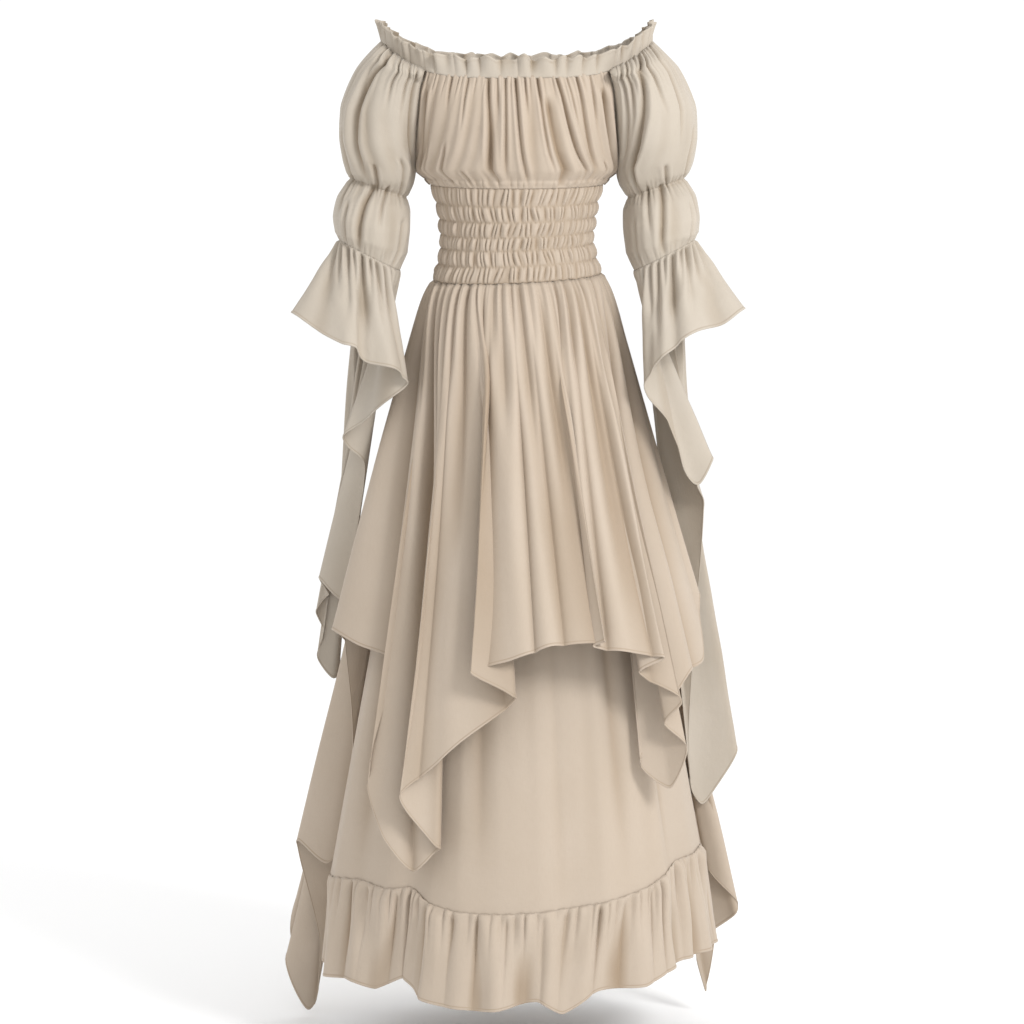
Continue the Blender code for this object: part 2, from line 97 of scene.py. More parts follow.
# Rise of a row from the centre front to the side, puffs in each half of a band, and how
# far the puffs of each band slant, in puffs
SHIRRING_LIFT = 6.0
SHIRRING_PUFFS = 41
SHIRRING_SLANTS = (0.55, -0.35, 0.6, 0.4, -0.45, 0.5)

# Bodice from the neck down. Side edge: distance from the middle, depth, height.
# Centre: height and depth in front, height and depth behind.
BODICE = (
    (126.0, 79.0, 243.0, 235.0, 105.0, 246.0, 105.0),
    (133.0, 73.0, 212.0, 207.0, 115.0, 218.0, 106.0),
    (137.0, 54.0, 172.0, 168.0, 120.0, 178.0, 107.0),
    (140.0, 26.0, 132.0, 130.0, 117.0, 140.0, 104.0),
    (141.0, 0.5, 106.0, 104.0, 109.0, 115.0, 98.0),
    (128.0, 0.5, 94.0, 90.0, 99.0, 102.0, 92.0),
)

# Sleeve from the neck down. Inner edge: distance from the middle, depth, height.
# Outer line: distance from the middle, height. Then half depth and shift to the front.
SLEEVE = (
    (126.0, 79.0, 243.0, 190.0, 286.0, 104.7, 0.0),
    (133.0, 73.0, 212.0, 226.0, 247.0, 93.0, 0.0),
    (137.0, 54.0, 172.0, 250.0, 195.0, 90.0, 0.0),
    (140.0, 26.0, 132.0, 252.0, 150.0, 82.0, 0.0),
    (141.0, 0.5, 106.0, 247.0, 118.0, 70.0, 0.0),
    (146.0, 0.5, 84.0, 242.0, 102.0, 56.0, 0.0),
    (155.0, 0.5, 66.0, 237.0, 93.0, 42.0, 0.0),
    (150.0, 0.5, 48.0, 252.0, 68.0, 56.0, 5.0),
    (150.0, 0.5, 18.0, 258.0, 40.0, 62.0, 12.0),
    (154.0, 0.5, -12.0, 256.0, 18.0, 54.0, 18.0),
)

# Lower elastic of a sleeve, an oval ring: distance from the middle, depth, height, half
# width and half depth, and how much higher its outer side is than its middle
FLOUNCE_RING = (207.5, -20.0, -16.0, 41.5, 42.0)
FLOUNCE_TILT = 21.5

# Left flounce, a row for each turn of its hem: angle on the elastic from the outer side
# towards the front, then across, depth, height
FLOUNCE_LEFT = (
    (0, -316, -60, -95),
    (25, -275, -95, -119),
    (45, -242, -105, -138),
    (60, -223, -110, -141),
    (75, -210, -106, -161),
    (92, -191, -108, -166),
    (115, -159, -100, -178),
    (130, -157, -88, -193),
    (142, -173, -76, -213),
    (155, -213, -50, -243),
    (168, -247, -26, -268),
    (180, -241, -6, -289),
    (192, -219, 12, -313),
    (206, -251, 36, -514),
    (218, -290, 52, -482),
    (230, -279, 68, -507),
    (242, -293, 80, -537),
    (254, -281, 90, -570),
    (266, -294, 98, -606),
    (280, -270, 110, -640),
    (296, -262, 116, -470),
    (312, -238, 98, -280),
    (326, -222, 72, -152),
    (340, -264, 32, -112),
    (352, -302, -20, -99),
)

# Right flounce, read like the left one
FLOUNCE_RIGHT = (
    (0, 320, -60, -89),
    (22, 293, -88, -106),
    (45, 255, -102, -118),
    (65, 228, -110, -132),
    (88, 206, -107, -154),
    (112, 190, -100, -171),
    (128, 184, -90, -192),
    (145, 204, -70, -241),
    (160, 236, -56, -313),
    (172, 258, -48, -340),
    (184, 281, -36, -298),
    (194, 260, -18, -337),
    (204, 266, 6, -372),
    (214, 250, 60, -700),
    (222, 256, 68, -800),
    (231, 274, 74, -824),
    (241, 299, 80, -790),
    (252, 321, 88, -746),
    (264, 304, 100, -700),
    (276, 284, 110, -600),
    (290, 266, 112, -440),
    (304, 254, 102, -320),
    (317, 248, 86, -230),
    (328, 230, 66, -150),
    (340, 268, 30, -108),
    (352, 304, -22, -95),
)

# Overskirt front from the left side, a row for each turn of its hem:
# angle at the waist, across, depth, height
OVERSKIRT_FRONT = (
    (-90, -248, 14, -569),
    (-87, -261, -35, -547),
    (-84, -224, -80, -562),
    (-80, -175, -122, -580),
    (-75, -211, -165, -745),
    (-70, -184, -192, -820),
    (-64, -145, -207, -862),
    (-56, -115, -215, -828),
    (-46, -163, -221, -752),
    (-38, -111, -225, -707),
    (-33, -79, -229, -677),
    (-28, -8, -236, -614),
    (-21, -69, -244, -575),
    (-11, -7, -252, -558),
    (2, 50, -254, -538),
    (22, 124, -250, -532),
    (28, 100, -240, -542),
    (38, 155, -232, -550),
    (48, 203, -222, -559),
    (51, 169, -214, -580),
    (55, 231, -204, -621),
    (58, 205, -196, -655),
    (61, 238, -188, -690),
    (64, 213, -180, -750),
    (67, 169, -172, -716),
    (76, 243, -112, -597),
    (84, 265, -55, -588),
    (90, 262, -8, -500),
)

# Overskirt back from the right side, read like the front
OVERSKIRT_BACK = (
    (90, 262, -8, -500),
    (96, 236, 32, -560),
    (102, 228, 74, -720),
    (108, 284, 92, -925),
    (115, 331, 106, -983),
    (121, 266, 126, -1045),
    (127, 286, 136, -1122),
    (134, 300, 152, -930),
    (142, 225, 170, -800),
    (150, 232, 196, -690),
    (158, 140, 222, -610),
    (168, 110, 248, -560),
    (178, 20, 240, -545),
    (186, -50, 258, -550),
    (196, -130, 232, -580),
    (206, -160, 226, -640),
    (214, -235, 190, -720),
    (222, -240, 172, -830),
    (230, -322, 152, -960),
    (238, -344, 136, -1069),
    (244, -311, 126, -1147),
    (250, -292, 112, -1036),
    (256, -324, 92, -876),
    (262, -276, 64, -910),
    (266, -240, 38, -720),
    (270, -248, 14, -569),
)

# Seam of underskirt and hem ruffle: angle at the waist, then across, depth, height,
# then the ruffle's lower edge below it: across, depth, height
FOOT_FRONT = (
    (-90, -270, 0, -911, -280, 0, -1030),
    (-84, -262, -42, -906, -276, -48, -1046),
    (-72, -220, -86, -901, -238, -98, -1040),
    (-62, -184, -124, -905, -202, -138, -1044),
    (-50, -147, -142, -899, -156, -152, -1024),
    (-42, -122, -178, -914, -136, -204, -1043),
    (-30, -82, -206, -920, -92, -226, -1049),
    (-14, -24, -222, -920, -32, -246, -1049),
    (4, 32, -226, -916, 28, -240, -1036),
    (20, 78, -216, -911, 62, -248, -1052),
    (34, 124, -212, -904, 112, -228, -1024),
    (50, 178, -180, -892, 176, -202, -1024),
    (64, 207, -152, -878, 222, -168, -1006),
    (76, 221, -118, -867, 232, -130, -1004),
    (84, 250, -62, -868, 270, -70, -1006),
    (90, 265, 0, -866, 290, 0, -1008),
)
FOOT_BACK = (
    (90, 265, 0, -866, 290, 0, -1008),
    (100, 254, 60, -876, 268, 66, -1014),
    (116, 206, 112, -888, 224, 112, -1022),
    (130, 176, 176, -896, 190, 192, -1030),
    (146, 122, 190, -902, 128, 200, -1036),
    (160, 74, 228, -906, 80, 250, -1042),
    (176, 10, 216, -910, 10, 228, -1044),
    (190, -44, 234, -912, -48, 254, -1046),
    (206, -96, 198, -914, -100, 208, -1048),
    (222, -158, 190, -914, -166, 206, -1046),
    (238, -190, 128, -914, -198, 136, -1044),
    (254, -244, 88, -912, -256, 92, -1040),
    (264, -256, 44, -912, -268, 46, -1036),
    (270, -270, 0, -911, -280, 0, -1030),
)

# Creases placed one by one: place at the first level, how far the middle bows aside, drift
# to the last level, first and last level, half width, depth in millimetres. The levels of
# a sheet run from 0 to 1, and a crease may start above it or end below it. Places run
# from 0 to 1 along a bodice or a sleeve, and are degrees on the others.
BODICE_FRONT_CREASES = (
    (0.035, 0.00, 0.05, 0.10, 0.95, 0.012, 6.0),
    (0.11, 0.00, 0.05, 0.45, 1.05, 0.007, 4.0),
    (0.16, 0.00, 0.02, -0.1, 0.30, 0.006, 3.5),
    (0.205, 0.00, 0.06, 0.45, 1.05, 0.007, 5.0),
    (0.25, 0.00, 0.02, -0.1, 0.45, 0.006, 4.0),
    (0.315, 0.00, 0.02, 0.70, 1.05, 0.006, 4.0),
    (0.345, 0.00, 0.11, -0.1, 1.10, 0.009, 7.5),
    (0.395, 0.00, 0.03, -0.1, 0.35, 0.005, 3.5),
    (0.44, 0.00, 0.03, -0.1, 0.90, 0.006, 5.0),
    (0.485, 0.00, 0.06, -0.1, 1.10, 0.007, 7.0),
    (0.535, 0.00, 0.01, -0.1, 0.35, 0.005, 3.5),
    (0.595, 0.00, 0.03, -0.1, 0.90, 0.006, 5.0),
    (0.635, 0.00, 0.03, 0.15, 1.10, 0.016, 8.5),
    (0.69, 0.00, 0.07, -0.1, 1.05, 0.007, 6.0),
    (0.745, 0.00, 0.02, -0.1, 0.50, 0.006, 4.0),
    (0.80, 0.01, -0.02, -0.1, 0.80, 0.007, 5.0),
    (0.845, 0.00, -0.01, 0.60, 1.05, 0.006, 4.5),
    (0.885, 0.00, -0.03, -0.1, 0.45, 0.006, 4.0),
    (0.94, 0.00, -0.05, 0.10, 1.05, 0.014, 8.0),
)
BODICE_BACK_CREASES = (
    (0.05, 0.00, 0.05, 0.10, 0.95, 0.014, 6.0),
    (0.13, 0.00, 0.04, -0.1, 0.70, 0.007, 5.0),
    (0.19, 0.00, 0.03, 0.35, 1.05, 0.007, 4.5),
    (0.25, 0.01, 0.02, -0.1, 0.90, 0.008, 6.0),
    (0.31, 0.00, 0.02, -0.1, 0.40, 0.006, 4.0),
    (0.37, 0.00, 0.03, 0.10, 1.05, 0.008, 6.5),
    (0.43, 0.00, 0.01, -0.1, 0.55, 0.006, 4.5),
    (0.49, 0.00, -0.02, -0.1, 1.05, 0.008, 7.0),
    (0.55, 0.00, 0.00, 0.55, 1.05, 0.006, 4.5),
    (0.60, 0.00, -0.02, -0.1, 0.65, 0.007, 5.0),
    (0.67, 0.01, -0.03, -0.1, 1.05, 0.008, 6.5),
    (0.74, 0.00, -0.01, -0.1, 0.40, 0.006, 4.0),
    (0.80, 0.00, -0.04, 0.20, 1.05, 0.008, 6.0),
    (0.87, 0.00, -0.02, -0.1, 0.75, 0.007, 5.0),
    (0.95, 0.00, -0.05, 0.10, 0.95, 0.014, 6.0),
)
SLEEVE_CREASES = (
    (0.045, 0.00, 0.00, 0.00, 0.40, 0.008, 4.5),
    (0.085, 0.00, 0.01, -0.1, 0.24, 0.007, 4.5),
    (0.125, 0.01, -0.02, 0.34, 0.66, 0.010, 6.0),
    (0.15, 0.00, 0.02, -0.1, 0.20, 0.007, 4.5),
    (0.215, 0.07, 0.08, -0.05, 0.60, 0.014, 10.0),
    (0.265, 0.04, 0.02, -0.1, 0.24, 0.008, 4.5),
    (0.27, 0.00, -0.03, 0.40, 0.67, 0.009, 5.0),
    (0.35, 0.02, 0.04, -0.1, 0.36, 0.009, 5.0),
    (0.41, 0.01, -0.02, 0.25, 0.66, 0.011, 6.0),
    (0.47, 0.00, 0.02, -0.1, 0.28, 0.009, 4.5),
    (0.56, 0.00, 0.02, -0.1, 0.60, 0.012, 7.0),
    (0.63, 0.00, -0.01, 0.30, 0.66, 0.009, 5.0),
    (0.70, -0.02, 0.03, -0.1, 0.44, 0.010, 6.0),
    (0.79, 0.00, -0.02, 0.05, 0.64, 0.013, 7.5),
    (0.87, 0.00, 0.01, -0.1, 0.30, 0.008, 5.0),
    (0.93, 0.00, 0.00, 0.15, 0.60, 0.009, 5.0),
    (0.10, 0.00, 0.01, 0.74, 1.05, 0.009, 5.0),
    (0.19, 0.01, 0.02, 0.54, 0.86, 0.008, 4.5),
    (0.26, 0.02, 0.04, 0.56, 1.05, 0.012, 7.5),
    (0.37, 0.00, 0.01, 0.70, 1.05, 0.009, 5.0),
    (0.42, 0.00, 0.00, 0.54, 0.80, 0.008, 4.5),
    (0.52, 0.00, 0.02, 0.55, 1.05, 0.011, 6.0),
    (0.64, 0.00, -0.01, 0.60, 0.95, 0.009, 5.0),
    (0.74, 0.00, 0.02, 0.56, 1.05, 0.011, 6.0),
    (0.86, 0.00, -0.01, 0.62, 1.05, 0.010, 5.5),
)
FLOUNCE_CREASES = (
    (12.0, 0.0, 4.0, -0.1, 0.80, 3.4, 6.0),
    (29.0, 0.0, 5.0, -0.1, 0.60, 2.6, 5.0),
    (44.0, 2.0, 6.0, -0.1, 0.95, 3.6, 8.0),
    (58.0, 0.0, 4.0, -0.1, 0.55, 2.6, 5.5),
    (76.0, 0.0, 0.0, -0.1, 0.85, 3.8, 8.0),
    (92.0, 0.0, -3.0, -0.1, 0.50, 2.4, 5.0),
    (104.0, 0.0, -2.0, -0.1, 0.90, 3.2, 7.0),
    (121.0, 0.0, -4.0, -0.1, 0.60, 2.8, 5.0),
    (137.0, 0.0, 0.0, -0.1, 0.70, 3.0, 5.0),
    (176.0, 0.0, 0.0, -0.1, 0.60, 3.6, 6.0),
    (211.0, 0.0, 0.0, -0.1, 0.45, 3.6, 6.0),
    (238.0, 0.0, 0.0, -0.1, 0.40, 3.6, 6.0),
    (262.0, 0.0, 0.0, -0.1, 0.50, 3.4, 6.0),
    (287.0, 0.0, 0.0, -0.1, 0.45, 3.4, 7.0),
    (311.0, 0.0, 0.0, -0.1, 0.60, 3.2, 6.0),
    (331.0, 0.0, 0.0, -0.1, 0.75, 3.0, 6.0),
    (347.0, 0.0, 0.0, -0.1, 0.60, 2.6, 5.0),
)
OVERSKIRT_FRONT_CREASES = (
    (-79.0, 0.0, 0.0, -0.1, 0.81, 1.7, 9.0),
    (-71.0, 0.0, 0.0, -0.1, 0.35, 1.2, 6.0),
    (-65.0, 0.0, 0.0, -0.1, 0.94, 1.5, 11.0),
    (-57.0, 0.0, 1.0, -0.1, 0.40, 1.3, 7.0),
    (-48.0, 0.0, 0.0, -0.1, 1.15, 1.5, 12.0),
    (-41.5, 0.0, 0.0, -0.1, 0.30, 1.1, 6.0),
    (-34.5, 0.0, -1.0, -0.1, 0.81, 1.4, 12.0),
    (-28.0, 0.0, 0.0, -0.1, 0.26, 1.1, 6.0),
    (-21.5, 0.0, -2.0, -0.1, 1.30, 1.6, 14.0),
    (-15.5, 0.0, 0.0, -0.1, 0.24, 1.0, 5.0),
    (-10.0, 0.0, -1.0, -0.1, 0.45, 1.3, 9.0),
    (-4.5, 0.0, 0.0, -0.1, 0.20, 1.0, 5.0),
    (1.0, 0.0, 1.5, -0.1, 1.08, 1.4, 11.0),
    (6.5, 0.0, 0.5, -0.1, 0.28, 1.0, 6.0),
    (12.5, 0.0, 1.5, -0.1, 1.30, 1.6, 12.0),
    (20.5, 0.0, 1.0, -0.1, 0.45, 1.3, 9.0),
    (25.5, 0.0, 0.5, -0.1, 1.22, 1.2, 11.0),
    (32.5, 0.0, 0.0, -0.1, 0.30, 1.1, 6.0),
    (40.0, 0.0, 1.0, -0.1, 1.15, 1.4, 12.0),
    (46.5, 0.0, 0.0, -0.1, 0.40, 1.0, 6.0),
    (53.0, 0.0, 0.0, -0.1, 0.26, 1.1, 6.0),
    (61.0, 0.0, 0.0, -0.1, 0.81, 1.4, 11.0),
    (70.0, 0.0, 0.0, -0.1, 0.40, 1.2, 7.0),
    (79.0, 0.0, 0.0, -0.1, 0.81, 1.5, 10.0),
)
OVERSKIRT_BACK_CREASES = (
    (100.0, 0.0, 0.0, -0.1, 0.50, 1.5, 8.0),
    (108.0, 0.0, 0.0, -0.1, 0.34, 1.2, 6.0),
    (115.0, 0.0, 0.0, -0.1, 0.97, 1.5, 11.0),
    (124.0, 0.0, 0.0, -0.1, 0.40, 1.3, 7.0),
    (131.0, 0.0, 0.0, -0.1, 0.88, 1.5, 11.0),
    (139.0, 0.0, 1.0, -0.1, 1.15, 1.5, 12.0),
    (146.0, 0.0, 0.0, -0.1, 0.30, 1.1, 6.0),
    (153.5, 0.0, 0.0, -0.1, 0.81, 1.4, 11.0),
    (161.0, 0.0, 1.0, -0.1, 0.40, 1.2, 7.0),
    (167.0, 0.0, 2.0, -0.1, 1.28, 1.6, 12.0),
    (175.0, 0.0, 0.0, -0.1, 0.30, 1.1, 6.0),
    (181.0, 0.0, 0.0, -0.1, 1.01, 1.5, 12.0),
    (188.5, 0.0, 0.0, -0.1, 0.45, 1.2, 7.0),
    (195.0, 0.0, -1.0, -0.1, 1.22, 1.5, 12.0),
    (203.0, 0.0, 0.0, -0.1, 0.30, 1.1, 6.0),
    (210.0, 0.0, -1.0, -0.1, 0.88, 1.4, 11.0),
    (217.5, 0.0, 0.0, -0.1, 0.45, 1.2, 7.0),
    (226.0, 0.0, 0.0, -0.1, 1.08, 1.5, 11.0),
    (235.0, 0.0, 0.0, -0.1, 0.40, 1.3, 7.0),
    (243.0, 0.0, 0.0, -0.1, 0.81, 1.4, 11.0),
    (252.0, 0.0, 0.0, -0.1, 0.36, 1.2, 6.0),
    (261.0, 0.0, 0.0, -0.1, 0.81, 1.5, 10.0),
)
UNDERSKIRT_FRONT_CREASES = (
    (-74.0, 0.0, 0.0, 0.30, 1.05, 3.0, 7.0),
    (-46.0, 0.0, 2.0, 0.40, 1.02, 3.4, 7.0),
    (-23.0, 0.0, 1.0, 0.55, 0.97, 3.2, 2.6),
    (14.0, 0.0, 1.0, 0.50, 1.05, 4.0, 3.0),
    (43.0, 0.0, 0.0, 0.45, 1.02, 3.0, 5.0),
    (70.0, 0.0, 0.0, 0.30, 1.05, 3.0, 7.0),
)
UNDERSKIRT_BACK_CREASES = (
    (106.0, 0.0, 0.0, 0.30, 1.05, 3.0, 6.0),
    (138.0, 0.0, 2.0, 0.40, 1.02, 3.4, 5.0),
    (166.0, 0.0, 1.0, 0.50, 0.97, 3.4, 4.0),
    (197.0, 0.0, 0.0, 0.45, 1.05, 3.4, 5.0),
    (230.0, 0.0, -2.0, 0.40, 1.02, 3.2, 5.0),
    (256.0, 0.0, 0.0, 0.30, 1.05, 3.0, 6.0),
)


# Curves and waves


def between(first, second, part):
    return first + (second - first) * part


def path_through(rows):
    """A curve through all the rows, part way to straight runs, so that corners stay corners.

    Distances are measured on the last three columns.
    """
    rows = np.array(rows, dtype=float)
    padded = np.vstack([2.0 * rows[0] - rows[1], rows, 2.0 * rows[-1] - rows[-2]])
    path = []
    for p0, p1, p2, p3 in zip(padded[:-3], padded[1:-2], padded[2:-1], padded[3:]):
        knots = [0.0]
        for a, b in ((p0, p1), (p1, p2), (p2, p3)):
            knots.append(knots[-1] + max(np.linalg.norm((b - a)[-3:]), 0.001) ** 0.5)
        t0, t1, t2, t3 = knots
        for share in np.arange(PATH_STEPS) / PATH_STEPS:
            t = between(t1, t2, share)
            a1 = between(p0, p1, (t - t0) / (t1 - t0))
            a2 = between(p1, p2, (t - t1) / (t2 - t1))
            a3 = between(p2, p3, (t - t2) / (t3 - t2))
            b1 = between(a1, a2, (t - t0) / (t2 - t0))
            b2 = between(a2, a3, (t - t1) / (t3 - t1))
            path.append(between(between(b1, b2, share), between(p1, p2, share), STRAIGHT_SHARE))
    path.append(rows[-1])
    return np.array(path)


def spaced(path, count, per_degree=0.0):
    """The path at count places, evenly spaced along its last three columns.

    per_degree is the length that a degree of its first column counts for as well.
    """
    steps = np.linalg.norm(np.diff(path[:, -3:], axis=0), axis=1)
    steps = steps + per_degree * np.abs(np.diff(path[:, 0]))
    length = np.concatenate([[0.0], np.cumsum(steps)])
    places = np.linspace(0.0, length[-1], count)
    return np.stack([np.interp(places, length, column) for column in path.T], axis=1)


def softened(path, reach):
    """The path with its turns rounded over about this many of its points."""
    half = int(math.ceil(reach * 3.0))
    offsets = np.arange(-half, half + 1)
    weights = np.exp(-0.5 * (offsets / reach) ** 2)
    weights /= weights.sum()
    start = 2.0 * path[0] - path[half:0:-1]
    end = 2.0 * path[-1] - path[-2 : -half - 2 : -1]
    padded = np.concatenate([start, path, end])
    rounded = np.zeros_like(path)
    for place, weight in enumerate(weights):
        rounded += weight * padded[place : place + len(path)]
    return rounded


def finer(table, count):
    """A table of sections with count rows, running smoothly from each section to the next."""
    numbered = [(index,) + tuple(row) for index, row in enumerate(table)]
    fine = path_through(numbered)
    order = np.linspace(0.0, len(table) - 1.0, len(fine))
    places = np.linspace(0.0, len(table) - 1.0, count)
    return np.stack([np.interp(places, order, column) for column in fine.T[1:]], axis=1)


def waves(along, count, seed, closed=False):
    """Uneven waves, about count of them for along from 0 to 1, between -1 and 1."""
    generator = np.random.default_rng(seed)
    total = np.zeros_like(along)
    size = 0.0
    for share in (0.62, 0.8, 1.0, 1.22, 1.45):
        turns = round(count * share) if closed else count * share
        weight = generator.uniform(0.5, 1.0)
        total = total + weight * np.sin(2.0 * math.pi * (turns * along + generator.uniform()))
        size += weight * weight
    return np.clip(total / (1.9 * math.sqrt(size / 2.0)), -1.0, 1.0)


def gathers(along, count, seed, closed=False):
    """Uneven folds with round crests and narrow valleys, 0 in the valleys and up to 1."""
    phase = count * along + 0.3 * waves(along, count * 0.35, seed, closed)
    tall = 0.7 + 0.3 * waves(along, count * 0.5, seed + 1, closed)
    return tall * np.abs(np.sin(math.pi * phase)) ** 0.6


def puckers(along, seed, count, tall, base, closed=False):
    """Gathers this tall, with height 0 at base, which is a share of the way up."""
    return tall * (gathers(along, count, seed, closed) - base)


def easing(part):
    """Smoothly from 0 to 1 as part goes from 0 to 1."""
    part = np.clip(part, 0.0, 1.0)
    return part * part * (3.0 - 2.0 * part)


def fading(level, start, end):
    """1 up to start, then smoothly down to 0 at end."""
    return 1.0 - easing((level - start) / (end - start))


def bell(away, reach):
    """1 where away is 0, and near 0 from twice the reach on."""
    return np.exp(-((away / reach) ** 2))


def off_the_sides(along, reach):
    """0 at both side edges of a sheet, and 1 from reach on."""
    return easing(np.minimum(along, 1.0 - along) / reach)


def creased(level, place, table, around=None, widening=0.0):
    """How deep the creases of a table press each point of a sheet, in millimetres."""
    depth = np.zeros(np.broadcast(level, place).shape)
    for first, bow, drift, start, end, width, deep in table:
        part = np.clip((level - start) / (end - start), 0.0, 1.0)
        away = place - (first + drift * part + 4.0 * bow * part * (1.0 - part))
        if around:
            away = (away + around / 2.0) % around - around / 2.0
        wide = width * (1.0 + widening * np.clip(level, 0.0, 1.0))
        strength = easing(part / 0.12) * easing((1.0 - part) / 0.45)
        trough = (1.0 + (away / wide) ** 2) ** -1.4
        ridge = 0.3 * bell(np.abs(away) - 2.3 * wide, wide)
        depth += deep * strength * (trough - ridge)
    return depth


def uneven(sheet, seed, size, height):
    """Soft unevenness of worn cloth, longer down the piece than across it."""
    generator = np.random.default_rng(seed)
    total = np.zeros(sheet.shape[:2])
    for _ in range(10):
        turn = generator.uniform(0.0, math.pi)
        way = np.array([math.cos(turn), math.sin(turn), generator.uniform(-0.4, 0.4)])
        length = size * generator.uniform(0.7, 1.7)
        total += np.sin(2.0 * math.pi * (sheet @ way / length + generator.uniform()))
    return height * total / 3.2


# Sheets and shells


def sheet_normals(sheet, closed):
    down = np.gradient(sheet, axis=0)
    if closed:
        across = np.roll(sheet, -1, axis=1) - np.roll(sheet, 1, axis=1)
    else:
        across = np.gradient(sheet, axis=1)
    normal = np.cross(down, across)
    return normal / np.maximum(np.linalg.norm(normal, axis=2, keepdims=True), 1e-9)


def raised(sheet, height, closed=False):
    return sheet + sheet_normals(sheet, closed) * height[..., None]


def distance_down(sheet):
    steps = np.linalg.norm(np.diff(sheet, axis=0), axis=2)
    return np.vstack([np.zeros((1, sheet.shape[1])), np.cumsum(steps, axis=0)])


def distance_along(line):
    steps = np.linalg.norm(np.diff(line, axis=0), axis=1)
    return np.concatenate([[0.0], np.cumsum(steps)])


def hung(top, hem, levels):
    """A sheet of straight falls from top to hem, with close rows for the rolled hem."""
    fall = np.linalg.norm(hem - top, axis=1)
    start_of_hem = 1.0 - 1.8 * HEM_ROLL[0][0] / fall
    parts = [level * start_of_hem for level in np.linspace(0.0, 1.0, levels) ** 1.2]
    parts += [1.0 - row[0] / fall for row in HEM_ROLL]
    level = np.array(parts)
    return top[None] + (hem - top)[None] * level[..., None], level


def quads(first, second, third, fourth):
    return np.stack([first, second, third, fourth], axis=1)


def shell_faces(levels, columns, closed):
    """Outside, inside and rims of a shell; its inner points follow its outer points."""
    count = levels * columns
    spans = columns if closed else columns - 1
    level, column = np.meshgrid(np.arange(levels - 1), np.arange(spans), indexing="ij")
    a = (level * columns + column).ravel()
    b = (level * columns + (column + 1) % columns).ravel()
    c, d = b + columns, a + columns
    start = np.arange(spans)
    after = (start + 1) % columns
    low, low_after = start + count - columns, after + count - columns
    faces = [
        quads(a, d, c, b),
        quads(a, b, c, d) + count,
        quads(start, after, after + count, start + count),
        quads(low_after, low, low + count, low_after + count),
    ]
    if not closed:
        left = np.arange(levels - 1) * columns
        right = left + columns - 1
        faces.append(quads(left + columns, left, left + count, left + columns + count))
        faces.append(quads(right, right + columns, right + columns + count, right + count))
    return np.vstack(faces)


def add_mesh(name, points, faces, uvs, shade, material):
    mesh = bpy.data.meshes.new(name)
    mesh.vertices.add(len(points))
    mesh.vertices.foreach_set("co", (points * MM).astype(np.float32).ravel())
    mesh.loops.add(faces.size)
    mesh.loops.foreach_set("vertex_index", faces.astype(np.int32).ravel())
    mesh.polygons.add(len(faces))
    mesh.polygons.foreach_set("loop_start", np.arange(0, faces.size, 4, dtype=np.int32))
    mesh.update(calc_edges=True)
    layer = mesh.uv_layers.new(name="cloth")
    layer.data.foreach_set("uv", uvs.astype(np.float32).ravel())
    attribute = mesh.attributes.new("shade", "FLOAT", "POINT")
    attribute.data.foreach_set("value", shade.astype(np.float32).ravel())
    mesh.materials.append(material)
    mesh.shade_smooth()
    piece = bpy.data.objects.new(name, mesh)
    bpy.context.scene.collection.objects.link(piece)
    return piece


def add_shell(name, sheet, material, shade, closed=False, hem="bottom"):
    """A thin cloth shell round a sheet, with one edge rolled if hem names it."""
    levels, columns = sheet.shape[:2]
    down = distance_down(sheet)
    edge = {"bottom": down[-1:] - down, "top": down, "none": None}[hem]
    thick = np.full((levels, columns), CLOTH)
    if edge is not None:
        reach = [row[0] for row in reversed(HEM_ROLL)]
        thick += np.interp(edge, reach, [row[1] for row in reversed(HEM_ROLL)])
        # Painted shade along the rolled hem's stitch groove
        shade = np.maximum(shade, np.interp(edge, reach, [row[2] for row in reversed(HEM_ROLL)]))
    offset = sheet_normals(sheet, closed) * (thick / 2.0)[..., None]
    points = np.vstack([(sheet + offset).reshape(-1, 3), (sheet - offset).reshape(-1, 3)])
    faces = shell_faces(levels, columns, closed)
    corner = faces % (levels * columns)
    middle = sheet[levels // 2]
    across = np.tile(distance_along(middle), levels)
    u = across[corner]
    if closed:
        width = across[columns - 1] + np.linalg.norm(middle[0] - middle[-1])
        wraps = (corner % columns == columns - 1).any(axis=1, keepdims=True)
        u = np.where(wraps & (corner % columns == 0), width, u)
    uvs = np.stack([u, down.ravel()[corner]], axis=2) * MM
    return add_mesh(name, points, faces, uvs, np.concatenate([shade, shade]), material)


def valley_shade(height, reach):
    """Painted shade for the shade attribute, from 0 on the crests to 1 in the valleys of a height
    field.
    """
    return np.clip(-height / reach, 0.0, 1.0)


# Materials


def add_node(tree, kind, inputs=None, **settings):
    """A shader node, with its inputs set from values or linked from other nodes' outputs."""
    node = tree.nodes.new("ShaderNode" + kind)
    for key, value in settings.items():
        setattr(node, key, value)
    for key, value in (inputs or {}).items():
        if isinstance(value, bpy.types.NodeSocket):
            tree.links.new(value, node.inputs[key])
        else:
            node.inputs[key].default_value = value
    return node


def mixed(tree, factor, first, second, blend="MIX"):
    inputs = {"Factor": factor, "A": first, "B": second}
    node = add_node(tree, "Mix", data_type="RGBA", blend_type=blend)
    for key, value in inputs.items():
        kind = "VALUE" if key == "Factor" else "RGBA"
        socket = next(s for s in node.inputs if s.name == key and s.type == kind)
        if isinstance(value, bpy.types.NodeSocket):
            tree.links.new(value, socket)
        else:
            socket.default_value = value
    return next(s for s in node.outputs if s.type == "RGBA")


